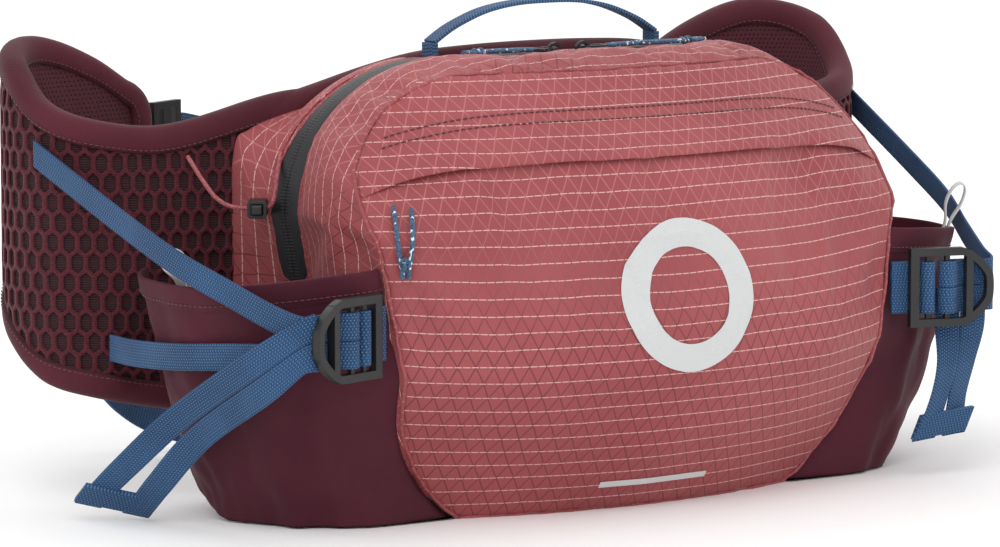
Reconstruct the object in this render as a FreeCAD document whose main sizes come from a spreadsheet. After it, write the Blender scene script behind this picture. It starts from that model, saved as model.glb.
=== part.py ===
"""A lumbar waist pack: a zipped bag with a front pocket, two open side pockets, a padded belt, and its buckles.

Millimetres. +Z is up, -Y is the front, +X is to the right of someone who faces the front.
The origin is on the ground, at the centre of the object's box.
"""
import FreeCAD
import Part

import math
import os

import Sketcher
from FreeCAD import Placement, Rotation, Vector

DOC = FreeCAD.newDocument("waist_pack")
SHEET = DOC.addObject("Spreadsheet::Sheet", "sizes")

# alias: millimetres, and what it is
DRIVING = {
    "top": 207,  # height of the flat top of the bag
    "crown_half": 80,  # half width of that flat top
    "shoulder_half": 145.5,
    "shoulder_height": 138,
    "flank_half": 132.5,
    "flank_height": 62,
    "base_half": 92,
    "shoulder_round": 72,
    "base_round": 90,
    "front_y": -144,  # foremost point of the front panel
    "front_round": 322,  # plan radius of the front panel
    "lean_from": 134.5,  # above this height the front leans back
    "lean": 0.72,  # how far back it goes for each millimetre up
    "tuck_to": 70,  # below this height the front tucks in under the bag
    "tuck": 0.5,  # how far back it goes for each millimetre down
    "back_y": -19,  # lumbar pad on the centre plane
    "back_round": 366,  # plan radius of the lumbar pad
    "zip_y": -47,  # main zip on the centre plane
    "zip_round": 515,  # plan radius of the main zip
    "zip_half": 7,  # half width of the coated zip tape
    "zip_end": 104,  # height of the main zip's lower ends
    "slit": 1.4,  # between the two halves of a zip
    "wall": 1.6,  # fabric with its lining
    "tape": 1.2,
    "coil": 2,
    "lumbar_foam": 10,
    "lumbar_mesh": 2,
    "frame_sheet": 1.2,
    "lumbar_half": 137,  # half width of the lumbar pad at its shoulders
    "pocket_depth": 16,  # front pocket, front to back
    "flap_edge": 151.5,  # lower edge of the flap over the front zip
    "panel_edge": 146,  # upper edge of the front panel
    "flap_space": 3.6,  # between the flap and the front zip
    "webbing": 25,
    "webbing_thick": 1.6,
    "strap": 12.5,
    "strap_thick": 1.3,
    "lock_x": 149.5,  # inner end of a ladder lock
    "lock_y": -117.5,
    "lock_z": 92.3,
    "lock_angle": 17,  # degrees between a ladder lock and the XZ plane
    "lock_length": 42,
    "lock_height": 38,
    "lock_thick": 4.4,
    "foam": 7,  # belt wing foam
    "mesh": 2,  # each mesh face of a belt wing
    "binding": 1,  # binding tape proud of each mesh face
    "slider_x": 8,  # each main slider from the centre plane, zip closed
    "ring": 13,  # pull ring length
    "handle_half": 63,
    "handle_y": -24,
    "handle_foot": 5.6,  # height of the handle's sewn feet
    "handle_rise": 17,
    "handle_width": 10,
    "buckle_y": 141,
    "buckle_z": 148,
    "buckle_height": 32,
    "buckle_thick": 10,
    "cord": 2.2,  # zip pull cords
    "elastic": 2,
}


class Size:
    """A number with the spreadsheet expression that gives it."""

    def __init__(self, value, text):
        self.value = float(value)
        self.text = text

    def _with(self, other, sign, result):
        other = size(other)
        return Size(result(self.value, other.value), f"({self.text} {sign} {other.text})")

    def __add__(self, other):
        return self._with(other, "+", lambda a, b: a + b)

    def __sub__(self, other):
        return self._with(other, "-", lambda a, b: a - b)

    def __mul__(self, other):
        return self._with(other, "*", lambda a, b: a * b)

    def __truediv__(self, other):
        return self._with(other, "/", lambda a, b: a / b)

    def __neg__(self):
        return self * -1

    __radd__ = __add__
    __rmul__ = __mul__

    def __rsub__(self, other):
        return size(other) - self


def size(value):
    return value if isinstance(value, Size) else Size(value, f"({value})")


for row, (alias, number) in enumerate(DRIVING.items(), start=1):
    SHEET.set(f"A{row}", alias)
    SHEET.set(f"B{row}", str(number))
    SHEET.setAlias(f"B{row}", alias)
DOC.recompute()
S = {alias: Size(getattr(SHEET, alias), f"sizes.{alias}") for alias in DRIVING}
V = {alias: amount.value for alias, amount in S.items()}
ZERO = size(0)
SIDES = (("left", -1), ("right", 1))

NODES = {}


def node(label, thing):
    """Names a finished sub-part; its label is its file's name."""
    thing.Label = label
    NODES[label] = thing
    return thing


# ---- sketches and features


def new_body(name):
    return DOC.addObject("PartDesign::Body", name)


def sketch_on(body, plane, start):
    """A sketch on one of the body's origin planes, moved along that plane's axis to start."""
    sketch = body.newObject("Sketcher::SketchObject", body.Name + "_sketch")
    role = {"XY": "XY_Plane", "XZ": "XZ_Plane", "YZ": "YZ_Plane"}[plane]
    origin_plane = next(f for f in body.Origin.OriginFeatures if f.Role == role)
    sketch.AttachmentSupport = [(origin_plane, "")]
    sketch.MapMode = "FlatFace"
    offset = -size(start) if plane == "XZ" else size(start)
    sketch.AttachmentOffset = Placement(Vector(0, 0, offset.value), Rotation())
    sketch.setExpression("AttachmentOffset.Base.z", offset.text)
    return sketch


def outline(sketch, points):
    """A closed outline, anticlockwise. A point is (x, y) or (x, y, radius): the edge that leaves it is then an
    arc of that radius, which bulges out of the outline, or into it where the radius is negative."""
    count = len(points)
    first = sketch.GeometryCount
    ends = []
    arcs = []
    for i, point in enumerate(points):
        following = points[(i + 1) % count]
        a = Vector(size(point[0]).value, size(point[1]).value, 0)
        b = Vector(size(following[0]).value, size(following[1]).value, 0)
        if len(point) == 2:
            sketch.addGeometry(Part.LineSegment(a, b), False)
            ends.append((1, 2))
            continue
        radius = size(point[2]).value
        half = (b - a).Length / 2
        along = (b - a).normalize()
        outward = Vector(along.y, -along.x, 0) * math.copysign(1, radius)
        rise = abs(radius) - math.sqrt(max(0.0, radius * radius - half * half))
        middle = (a + b) * 0.5 + outward * rise
        sketch.addGeometry(Part.Arc(a, middle, b) if radius > 0 else Part.Arc(b, middle, a), False)
        ends.append((1, 2) if radius > 0 else (2, 1))
        if abs(radius) > half * 1.001:
            arcs.append((first + i, size(point[2]) if radius > 0 else -size(point[2])))
    for i, point in enumerate(points):
        here = first + i
        following = (i + 1) % count
        sketch.addConstraint(
            Sketcher.Constraint("Coincident", here, ends[i][1], first + following, ends[following][0])
        )
        for kind, amount in (("DistanceX", size(point[0])), ("DistanceY", size(point[1]))):
            index = sketch.addConstraint(Sketcher.Constraint(kind, here, ends[i][0], amount.value))
            sketch.setExpression(f"Constraints[{index}]", amount.text)
    for here, amount in arcs:
        index = sketch.addConstraint(Sketcher.Constraint("Radius", here, amount.value))
        sketch.setExpression(f"Constraints[{index}]", amount.text)


def pad(body, plane, points, start, length, holes=()):
    """Pads an outline from start for length along the plane's axis: Z for XY, Y for XZ, X for YZ."""
    sketch = sketch_on(body, plane, start)
    for loop in (points, *holes):
        outline(sketch, loop)
    made = body.newObject("PartDesign::Pad", body.Name + "_pad")
    made.Profile = sketch
    made.setExpression("Length", size(length).text)
    made.Reversed = plane == "XZ"
    DOC.recompute()
    return made


def pocket(body, plane, points, start, length):
    """Cuts an outline out of the body, from start for length along the plane's axis."""
    before = body.Shape.Volume
    sketch = sketch_on(body, plane, start)
    outline(sketch, points)
    made = body.newObject("PartDesign::Pocket", body.Name + "_pocket")
    made.Profile = sketch
    made.setExpression("Length", size(length).text)
    made.Reversed = plane != "XZ"
    DOC.recompute()
    assert body.Shape.Volume < before - 1e-3, f"{body.Name}: a pocket cuts nothing"
    return made


def fillet(body, radius, wanted):
    """Rounds the edges of the body whose middle and direction wanted() accepts."""
    tip = body.Tip
    names = []
    for i, edge in enumerate(tip.Shape.Edges, start=1):
        middle = edge.valueAt((edge.FirstParameter + edge.LastParameter) / 2)
        if wanted(middle, edge.tangentAt(edge.FirstParameter)):
            names.append(f"Edge{i}")
    made = body.newObject("PartDesign::Fillet", body.Name + "_fillet")
    made.Base = (tip, names)
    made.setExpression("Radius", size(radius).text)
    DOC.recompute()
    return made


def rectangle(x0, y0, x1, y1):
    return [(x0, y0), (x1, y0), (x1, y1), (x0, y1)]


def circle(x, y, radius):
    """Two half turns."""
    return [(size(x) - radius, y, radius), (size(x) + radius, y, radius)]


def block(name, low, high):
    """A Part::Box between two corners."""
    made = DOC.addObject("Part::Box", name)
    for side, axis, a, b in zip(("Length", "Width", "Height"), "xyz", low, high):
        made.setExpression(side, (size(b) - a).text)
        made.setExpression(f"Placement.Base.{axis}", size(a).text)
    return made


def common(name, *things):
    made = DOC.addObject("Part::MultiCommon", name)
    made.Shapes = list(things)
    return made


def fused(name, *things):
    made = DOC.addObject("Part::MultiFuse", name)
    made.Shapes = list(things)
    return made


def less(name, base, *tools):
    """base with each of the tools cut away."""
    made = base
    for i, tool in enumerate(tools):
        following = DOC.addObject("Part::Cut", f"{name}_cut{i}")
        following.Base = made
        following.Tool = tool
        made = following
    return made


def shaped(name, shape):
    """A shape that only Part's own functions make."""
    made = DOC.addObject("Part::Feature", name)
    made.Shape = shape
    made.Placement = Placement()
    return made


# ---- soft strips and cords


def quad(a, b, c, d):
    """A face with four corners: flat where they lie in one plane, and otherwise ruled."""
    rim = Part.makePolygon([a, b, c, d, a])
    if rim.findPlane():
        return Part.Face(rim)
    surface = Part.BSplineSurface()
    surface.buildFromPolesMultsKnots([[a, d], [b, c]], [2, 2], [2, 2], [0, 1], [0, 1], False, False, 1, 1)
    return surface.toShape()


def strip(stations, low, high):
    """A ruled solid through stations of (point, edge vector). The edge vector spans the width and is centred on
    the point; the thickness runs along the normal, from low to high."""
    points = [Vector(*point) for point, _ in stations]
    last = len(points) - 1
    sections = []
    for i, (_, edge) in enumerate(stations):
        edge = Vector(*edge)
        along = points[min(i + 1, last)] - points[max(i - 1, 0)]
        normal = along.cross(edge).normalize()
        near = points[i] + normal * low
        far = points[i] + normal * high
        half = edge * 0.5
        sections.append([near - half, near + half, far + half, far - half])
    faces = [quad(*sections[0]), quad(*sections[-1])]
    for one, two in zip(sections, sections[1:]):
        for k in range(4):
            faces.append(quad(one[k], one[k - 1], two[k - 1], two[k]))
    shell = Part.makeShell(faces)
    shell.sewShape()
    solid = Part.makeSolid(shell)
    if solid.Volume < 0:
        solid.reverse()
    return solid


def tube(name, points, diameter):
    """A round cord: straight runs joined by tangent arcs, each as large as 0.45 of its shorter run allows."""
    points = [Vector(*point) for point in points]
    edges = []
    radii = []
    start = points[0]
    for before, at, after in zip(points, points[1:], points[2:]):
        back = before - at
        onward = after - at
        trim = 0.45 * min(back.Length, onward.Length)
        half_turn = (math.pi - back.getAngle(onward)) / 2
        radius = trim / math.tan(half_turn)
        back.normalize()
        onward.normalize()
        inward = (back + onward).normalize()
        leave = at + onward * trim
        enter = at + back * trim
        middle = at + inward * (radius / math.cos(half_turn) - radius)
        edges.append(Part.LineSegment(start, enter).toShape())
        edges.append(Part.Arc(enter, middle, leave).toShape())
        radii.append(radius)
        start = leave
    edges.append(Part.LineSegment(start, points[-1]).toShape())
    wire = Part.Wire(edges)
    section = Part.Wire(Part.Circle(points[0], points[1] - points[0], diameter / 2).toShape())
    made = wire.makePipeShell([section], True, False)
    expected = math.pi * diameter * diameter / 4 * wire.Length
    assert abs(made.Volume / expected - 1) < 0.03, f"{name}: the tube's volume is off"
    print(f"{name}: {wire.Length:.1f} mm long, radii {[round(radius, 1) for radius in radii]}")
    return made


def on_side(side, points):
    """Points given for the right side, on the side asked for."""
    return [(side * x, y, z) for x, y, z in points]


# ---- the bag: an arched outline seen from the front, cut by arcs seen from above


def arch(name, inset, y0=-160, y1=40):
    """A prism of the bag's front outline, moved in by inset, from y0 to y1."""
    inset = size(inset)
    base = S["base_half"] - inset * 0.5
    flank = S["flank_half"] - inset
    shoulder = S["shoulder_half"] - inset
    crown = S["crown_half"] - inset * 0.5
    low = S["flank_height"]
    high = S["shoulder_height"]
    top = S["top"] - inset
    turn = S["shoulder_round"] - inset
    curl = S["base_round"] - inset
    points = [
        (-base, inset),
        (base, inset, curl),
        (flank, low),
        (shoulder, high, turn),
        (crown, top),
        (-crown, top, turn),
        (-shoulder, high),
        (-flank, low, curl),
    ]
    body = new_body(name)
    pad(body, "XZ", points, y0, size(y1) - y0)
    return body


def crescent(name, front, front_round, back, back_round, z0=-5, z1=240):
    """A prism between two arcs that cross the centre plane at y = front and y = back, both centred behind."""
    half = size(155)

    def drop(radius):
        """How far back an arc is at the sides."""
        value = radius.value - math.sqrt(radius.value**2 - half.value**2)
        return Size(value, f"({radius.text} - sqrt({radius.text} ^ 2 - {half.text} ^ 2))")

    front, back = size(front), size(back)
    front_round, back_round = size(front_round), size(back_round)
    points = [
        (-half, front + drop(front_round), front_round),
        (half, front + drop(front_round)),
        (half, back + drop(back_round), -back_round),
        (-half, back + drop(back_round)),
    ]
    body = new_body(name)
    pad(body, "XY", points, z0, size(z1) - z0)
    return body


def above(name, height):
    return block(name, (-170, -170, height), (170, 60, 260))


def below(name, height):
    return block(name, (-170, -170, -10), (170, 60, height))


def behind_front(name, offset):
    """All that lies behind the front surface moved in by offset: a cylinder, with a cone where the front leans back
    at the top and another where it tucks in at the foot."""
    radius = S["front_round"] - offset
    low, high, foot, head = S["tuck_to"], S["lean_from"], size(-10), size(240)
    tucked = radius - S["tuck"] * (low - foot)
    leant = radius - S["lean"] * (head - high)
    parts = []
    for label, z0, z1, r0, r1 in (("foot", foot, low, tucked, radius), ("head", high, head, radius, leant)):
        cone = DOC.addObject("Part::Cone", f"{name}_{label}")
        cone.setExpression("Radius1", r0.text)
        cone.setExpression("Radius2", r1.text)
        parts.append((cone, z0, z1))
    upright = DOC.addObject("Part::Cylinder", f"{name}_upright")
    upright.setExpression("Radius", radius.text)
    parts.append((upright, low, high))
    for made, z0, z1 in parts:
        made.setExpression("Height", (z1 - z0).text)
        made.setExpression("Placement.Base.z", z0.text)
        made.setExpression("Placement.Base.y", (S["front_y"] + S["front_round"]).text)
    return fused(name, *[made for made, _, _ in parts])


def front_layer(name, offset, thick):
    """A layer of that thickness which follows the front surface, moved in by offset."""
    return less(name, behind_front(name + "_outer", offset), behind_front(name + "_inner", offset + thick))


def bag_fabric():
    """The outer fabric: front panel and flap, the gussets and the base round the depth, and the back panel."""
    wall = S["wall"]
    front_y, front_round = S["front_y"], S["front_round"]
    lumbar = S["lumbar_mesh"] + S["lumbar_foam"] + S["frame_sheet"]
    back_y, back_round = S["back_y"] - lumbar, S["back_round"] + lumbar
    zip_front = (S["zip_y"] - S["zip_half"], S["zip_round"] + S["zip_half"])
    zip_back = (S["zip_y"] + S["zip_half"], S["zip_round"] - S["zip_half"])

    face = front_layer("face", ZERO, wall)
    inside = behind_front("inside", wall)
    face_piece = common("face_piece", arch("face_arch", 0), face)
    node("front_panel", common("front_panel", face_piece, block(
        "front_panel_room", (-170, -170, 0), (170, 60, S["panel_edge"]))))
    node("front_flap", common("front_flap", face_piece, above("front_flap_room", S["flap_edge"])))

    ring = less("ring", arch("ring_outer", 0), arch("ring_inner", wall))
    ahead = crescent("ahead", front_y + wall, front_round - wall, *zip_front)
    node("gusset_front", common("gusset_front", ring, ahead, inside, above("gusset_front_room", S["zip_end"])))
    behind = crescent("behind", *zip_back, back_y - wall, back_round + wall)
    node("gusset_rear", common("gusset_rear", ring, behind, above("gusset_rear_room", S["zip_end"])))
    whole = crescent("whole_depth", front_y + wall, front_round - wall, back_y - wall, back_round + wall)
    node("base_panel", common("base_panel", ring, whole, inside, below("base_panel_room", S["zip_end"])))
    rear = crescent("rear", back_y - wall, back_round + wall, back_y, back_round)
    node("back_panel", common("back_panel", arch("back_arch", 0), rear))


def front_pocket():
    """Behind the flap: the front zip, and the wall between the front pocket and the main compartment."""
    wall = S["wall"]
    band = front_layer("front_band", wall + S["flap_space"], S["tape"])
    tape = common("front_tape_whole", arch("front_tape_arch", wall + 4), band, block(
        "front_tape_room", (-170, -170, S["panel_edge"] + 4), (170, 60, S["flap_edge"] + 19)))
    middle = (S["flap_edge"] + S["panel_edge"] + 23) / 2
    slit = block("front_slit", (-150, -170, middle - S["slit"] / 2), (150, 60, middle + S["slit"] / 2))
    node("front_zip_tape", less("front_zip_tape", tape, slit))
    layer = front_layer("divider_layer", wall + S["pocket_depth"], 1)
    node("pocket_divider", common("pocket_divider", arch("divider_arch", wall + 0.3), layer))


def main_zip():
    """The coated tape and the coil under it, each in two halves along the slit."""
    wall, tape, coil = S["wall"], S["tape"], S["coil"]
    y, r, half, slit = S["zip_y"], S["zip_round"], S["zip_half"], S["slit"] / 2
    gap = crescent("zip_slit", y - slit, r + slit, y + slit, r - slit)
    band = crescent("zip_band", y - half, r + half, y + half, r - half)
    layer = less("zip_layer", arch("zip_outer", 0), arch("zip_inner", tape))
    tape_whole = common("zip_tape_whole", layer, band, above("zip_tape_room", S["zip_end"]))
    node("main_zip_tape", less("main_zip_tape", tape_whole, gap))
    row = crescent("coil_band", y - 2.4, r + 2.4, y + 2.4, r - 2.4)
    layer = less("coil_layer", arch("coil_outer", tape), arch("coil_inner", tape + coil))
    coil_whole = common("coil_whole", layer, row, above("coil_room", S["zip_end"] + 6))
    node("main_zip_coil", less("main_zip_coil", coil_whole, gap))


def lumbar_pad():
    """Plastic frame sheet, foam and spacer mesh behind the back panel."""

    def layer(label, inset, offset, thick):
        y, r = S["back_y"] - offset - thick, S["back_round"] + offset + thick
        plan = crescent(label + "_plan", y, r, y + thick, r - thick)
        node(label, common(label, arch(label + "_arch", inset), plan))

    edge = S["shoulder_half"] - S["lumbar_half"]
    layer("frame_sheet", edge + 4, S["lumbar_mesh"] + S["lumbar_foam"], S["frame_sheet"])
    layer("lumbar_foam", edge + 2, S["lumbar_mesh"], S["lumbar_foam"])
    layer("lumbar_mesh", edge, ZERO, S["lumbar_mesh"])


def badges():
    """The badge and the reflective strip on the front panel."""
    proud = 0.6
    skin = front_layer("badge_layer", size(-proud), proud)
    disc = new_body("badge_disc")
    pad(disc, "XZ", circle(0, 103, 35), -160, 60, holes=[circle(0, 103, 22)])
    node("badge", common("badge", disc, skin))
    stripe = block("stripe_room", (-30, -170, 12), (30, -80, 15))
    node("reflective_strip", common("reflective_strip", stripe, skin))


def zip_slider(label, x):
    """A slider on the closed zip: a plate over the tape with a bridge, a neck in the slit, a plate under it."""
    y = -math.sqrt(V["zip_round"] ** 2 - x * x) + V["zip_y"] + V["zip_round"]
    top = S["top"] + 0.3
    under = S["top"] - S["tape"] - S["coil"] - 0.3
    body = new_body(label)
    half_long, half_wide = 5, 4.2
    pad(body, "XY", rectangle(x - half_long, y - half_wide, x + half_long, y + half_wide), top, 1.5)
    pad(body, "XY", rectangle(x - 1.5, y - 0.4, x + 1.5, y + 0.4), under - 0.1, top - under + 0.2)
    pad(body, "XY", rectangle(x - half_long, y - half_wide, x + half_long, y + half_wide), under - 1.5, 1.5)
    bridge = [(x - 4, top + 1.4), (x + 4, top + 1.4), (x + 4, top + 3, 4.4), (x - 4, top + 3)]
    tunnel = [(x - 2.6, top + 1.5), (x + 2.6, top + 1.5), (x + 2.6, top + 2.2, 2.7), (x - 2.6, top + 2.2)]
    pad(body, "XZ", bridge, y - 0.9, 1.8)
    pocket(body, "XZ", tunnel, y - 1, 2)
    return node(label, body)


def pull_ring(label, x, outward):
    """A flat ring through the slider's bridge, lying outward."""
    y = -math.sqrt(V["zip_round"] ** 2 - x * x) + V["zip_y"] + V["zip_round"]
    z = V["top"] + 0.3 + 1.5 + 0.4
    x0, x1 = sorted((x - outward * 0.7, x + outward * V["ring"]))
    h0, h1 = sorted((x + outward * 0.7, x + outward * (V["ring"] - 1.8)))
    body = new_body(label)
    pad(body, "XY", rectangle(x0, y - 4, x1, y + 4), z, 1.4, holes=[rectangle(h0, y - 2.4, h1, y + 2.4)])
    fillet(body, 1.5, lambda at, way: abs(way.z) > 0.9 and abs(abs(at.y - y) - 4) < 0.1)
    return node(label, body)


def zip_pulls():
    """Two main sliders with their rings and cords, parked together on the centre plane."""
    reach = {"left": (26, 34, 43, 52, 60), "right": (27, 41, 55, 68, 79)}
    drift = {"left": (0, -1.5, 0.5, -0.5, -2), "right": (0, 1.5, -0.8, 0.6, 2)}
    for name, side in SIDES:
        x = side * V["slider_x"]
        zip_slider(f"main_slider_{name}", x)
        pull_ring(f"pull_ring_{name}", x, side)
        y = V["zip_y"]
        z = V["top"] + 2.9
        first = V["slider_x"] + V["ring"] + 0.1
        strands = []
        for spread in (-1.5, 1.5):
            route = [(side * first, y + spread, z)]
            for at, sway in zip(reach[name], drift[name]):
                route.append((side * at, y + spread + sway, z + 0.05 * abs(sway) + 0.3))
            strands.append(tube(f"pull_cord_{name}", route, V["cord"]))
        node(f"pull_cord_{name}", shaped(f"pull_cord_{name}", Part.Compound(strands)))


def front_zip_pull():
    """The slider behind the flap at the left end of the front zip, and its cord, which hangs out under the flap."""
    axis_y = V["front_y"] + V["front_round"]
    turn = math.radians(24.6)

    def at(radius, angle, z):
        """A point at a radius from the front panel's centre of curvature."""
        return (-radius * math.sin(angle), axis_y - radius * math.cos(angle), z)

    middle = (V["flap_edge"] + V["panel_edge"] + 23) / 2
    face = V["front_round"] - V["wall"] - V["flap_space"] - V["lean"] * (middle - V["lean_from"])
    body = new_body("front_slider")
    pad(body, "XZ", rectangle(-5, -4.2, 5, 4.2), -2.55, 1.7)
    pad(body, "XZ", rectangle(-1.5, -0.4, 1.5, 0.4), -0.95, 1.9)
    pad(body, "XZ", rectangle(-5, -4.2, 5, 4.2), 0.85, 1.5)
    tilt = Rotation(Vector(1, 0, 0), -math.degrees(math.atan(V["lean"])))
    on_tape = Placement(Vector(0, V["tape"] / 2 - face, middle), tilt)
    body.Placement = Placement(Vector(0, axis_y, 0), Rotation(Vector(0, 0, 1), -math.degrees(turn))).multiply(on_tape)
    node("front_slider", body)

    strands = []
    for spread in (-0.0125, 0.0125):
        splay = (1, 1, 1, 0.95, 0.85, 0.65, 0.35, 0.3)
        height = (155.6, 150.2, 147, 141, 134, 127, 121, 117)
        proud = (-3.3, -3.1, 2.3, 2.6, 2.4, 2.5, 2.3, 2.4)
        route = []
        for share, z, out in zip(splay, height, proud):
            surface = V["front_round"] - V["lean"] * max(0, z - V["lean_from"])
            route.append(at(surface + out, turn + spread * share, z))
        strands.append(tube("front_pull_cord", route, V["cord"]))
    node("front_pull_cord", shaped("front_pull_cord", Part.Compound(strands)))


# ---- the ladder locks: their tabs on the front seams, and the straps through them


def flip(points, side):
    """An outline of the right side, on the side asked for: mirrored in x, and still anticlockwise."""
    if side > 0:
        return points
    turned = points[::-1]
    count = len(turned)
    return [(-size(turned[i][0]), turned[i][1], *turned[(i + 1) % count][2:]) for i in range(count)]


def lock_frame(side):
    """Local x runs along the ladder lock, outward on the right side, and local y points backward."""
    place = Placement()
    place.Base = Vector(side * V["lock_x"], V["lock_y"], V["lock_z"])
    place.Rotation = Rotation(Vector(0, 0, 1), -V["lock_angle"] * side)
    return place


def lock_point(along, back, up=0.0):
    """A point of the right side, from a ladder lock's own frame."""
    at = lock_frame(1).multVec(Vector(along, back, up))
    return (at.x, at.y, at.z)


TAB_BAR = (9.75, 0.7)  # along and back: the bar that the webbing tab loops round


def ladder_lock(label, side):
    """A frame with a rounded outer end, and three bars across its window."""
    half = S["lock_height"] / 2
    long, thick = S["lock_length"], S["lock_thick"]
    straight = long - 15
    frame = [(0, -half), (straight, -half, 27), (long, -half / 3, 40), (long, half / 3, 27), (straight, half), (0, half)]
    inner = half - 3.8
    inside = [
        (4.4, -inner), (straight, -inner, 24), (long - 3.4, -inner / 3, 36),
        (long - 3.4, inner / 3, 24), (straight, inner), (4.4, inner),
    ]
    body = new_body(label)
    pad(body, "XZ", flip(frame, side), -thick / 2, thick, holes=[flip(inside, side)])
    tall = half - 2
    along, back = TAB_BAR
    for near, far, middle, depth in ((along - 1.2, along + 1.2, back, 2), (17.9, 20.3, 0, 2.4), (28.5, 32, 0, 4.2)):
        pad(body, "XZ", flip(rectangle(near, -tall, far, tall), side), middle - depth / 2, depth)
    body.Placement = lock_frame(side)
    node(label, body)


def lock_tab(label, side):
    """Webbing round the ladder lock's inner bar, with both ends in the front seam."""
    along, back = TAB_BAR
    width = S["webbing"]
    outer = [(-7.5, back + 2), (along - 3, back + 2), (along - 3.6, back, 3.6), (along, back - 3.6, 3.6)]
    outer += [(along + 3.6, back, 3.6), (along, back + 3.6), (-7.5, back + 3.6)]
    body = new_body(label)
    pad(body, "XY", flip(outer, side), -width / 2, width, holes=[flip(circle(along, back, 2), side)])
    body.Placement = lock_frame(side)
    node(label, body)


UPPER_ROUTE = [(236, 46.5, 165), (227, -15, 140), (219.5, -55, 124), (208.5, -85, 112), (199.5, -110, 102.5)]
LOWER_ROUTE = [(210.5, 21, 75), (215, -10, 76.5), (214.5, -45, 79), (205, -82, 82.5), (199, -110, 85)]
# where the webbing runs in the lock, along and back: in behind it, round the middle bar, and out behind it
THREAD = [
    (44, 5.7), (30, 5.6), (20, 4.8), (16.4, 2.8), (15.6, 0), (16.8, -2.3), (19.1, -3.1),
    (21.6, -2.2), (24.2, 0.8), (27, 3.3), (33.8, 3.6), (38, 3.7),
]
# point and edge direction along each pair of tails: the left pair runs on from the lock to the ground, and the
# right pair is folded over behind the lock and hangs
TAIL_ROUTES = {
    "left": [
        ((193, -126, 92.3), (0, 0, 1)),
        ((207, -107, 76), (0.35, 0.3, 0.89)),
        ((216, -62, 49), (0.6, 0.52, 0.6)),
        ((224, -33, 24), (0.7, 0.55, 0.45)),
        ((229, -12, 5), (0.8, 0.56, 0.2)),
    ],
    "right": [
        ((180.5, -116.7, 91), (0.96, -0.29, 0)),
        ((180.2, -117.5, 72), (0.96, -0.29, 0)),
        ((177, -119, 54), (0.95, 0.1, 0)),
        ((171, -120, 36), (0.75, 0.66, 0)),
        ((166, -120, 19), (0.35, 0.94, 0)),
    ],
}


def lock_strap(name, side):
    """Both narrow straps of one side: from the belt wing through the lock, and on to their joined tails."""
    width = V["strap"]
    thick = V["strap_thick"] / 2

    def at_side(stations):
        return [((side * p[0], p[1], p[2]), (side * e[0], e[1], e[2])) for p, e in stations]

    def shifted(point, edge, up, length):
        edge = Vector(*edge).normalize()
        return tuple(Vector(*point) + edge * up), tuple(edge * length)

    parts = []
    half = width / 2 + 0.15
    for route, up in ((UPPER_ROUTE, half), (LOWER_ROUTE, -half)):
        through = [(point, (0, 0, width)) for point in route]
        through += [(lock_point(along, back, up), (0, 0, width)) for along, back in THREAD]
        tail = [shifted(point, edge, up, width) for point, edge in TAIL_ROUTES[name]]
        runs = [through + tail] if name == "left" else [through, tail]
        parts += [strip(at_side(run), -thick, thick) for run in runs]
    (before, _), (last, edge) = TAIL_ROUTES[name][-2:]
    beyond = Vector(*last) + (Vector(*last) - Vector(*before)).normalize() * 2
    end = [shifted(point, edge, 0, V["webbing"]) for point in (last, beyond)]
    parts.append(strip(at_side(end), -thick, thick))
    node(f"lock_strap_{name}", shaped(f"lock_strap_{name}", parts[0].fuse(parts[1:])))


# ---- the belt wings


WING_START = Vector(138, 6, 0)
WING_TURN_START = Vector(205, 26.5, 0)
WING_ROUND = 39
WING_TURN = math.radians(155)
WING_LONG = 235
# distance along the wing: height of its lower and upper edge
WING_EDGES = [
    (0, 42, 188), (47, 46, 176), (83, 53, 180), (104, 59, 188),
    (128, 76, 206), (165, 101, 213), (200, 124, 202), (235, 147, 180),
]


def wing_at(distance):
    """The point of the right wing's middle line, and its lower and upper height, at a distance along it."""
    way = (WING_TURN_START - WING_START)
    straight = way.Length
    way.normalize()
    left = Vector(-way.y, way.x, 0)
    if distance <= straight:
        at = WING_START + way * distance
    else:
        turned = min((distance - straight) / WING_ROUND, WING_TURN)
        centre = WING_TURN_START + left * WING_ROUND
        at = centre - left * (WING_ROUND * math.cos(turned)) + way * (WING_ROUND * math.sin(turned))
        rest = distance - straight - WING_ROUND * WING_TURN
        if rest > 0:
            at += (way * math.cos(WING_TURN) + left * math.sin(WING_TURN)) * rest
    for (d0, low0, high0), (d1, low1, high1) in zip(WING_EDGES, WING_EDGES[1:]):
        if d0 <= distance <= d1:
            share = (distance - d0) / (d1 - d0)
            return at, low0 + (low1 - low0) * share, high0 + (high1 - high0) * share
    raise ValueError(distance)


def wing_strip(side, start, end, margin, low, high):
    """A layer of one wing, with its edges moved in by margin; low to high is from the inner face outward."""
    count = max(2, round((end - start) / 14))
    stations = []
    for i in range(count + 1):
        at, bottom, top = wing_at(start + (end - start) * i / count)
        middle = (bottom + top) / 2
        stations.append(((side * at.x, at.y, middle), (0, 0, (top - bottom - 2 * margin) * side)))
    return strip(stations, low, high)


def belt_wing(name, side):
    foam, mesh = V["foam"] / 2, V["mesh"]
    start, end, edge = 15, WING_LONG - 4.5, 4.5
    layers = {
        "wing_foam": (-foam, foam),
        "wing_outer_mesh": (foam, foam + mesh),
        "wing_inner_mesh": (-foam - mesh, -foam),
    }
    for label, (low, high) in layers.items():
        shape = wing_strip(side, start, end, edge, low, high)
        node(f"{label}_{name}", shaped(f"{label}_{name}", shape))
    proud = foam + mesh + V["binding"]
    whole = shaped(f"binding_whole_{name}", wing_strip(side, start + 0.5, WING_LONG, 0, -proud, proud))
    window = shaped(f"binding_window_{name}", wing_strip(side, start, end, edge, -proud - 4, proud + 4))
    node(f"wing_binding_{name}", less(f"wing_binding_{name}", whole, window))


# ---- the stretch pockets on the sides


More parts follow.
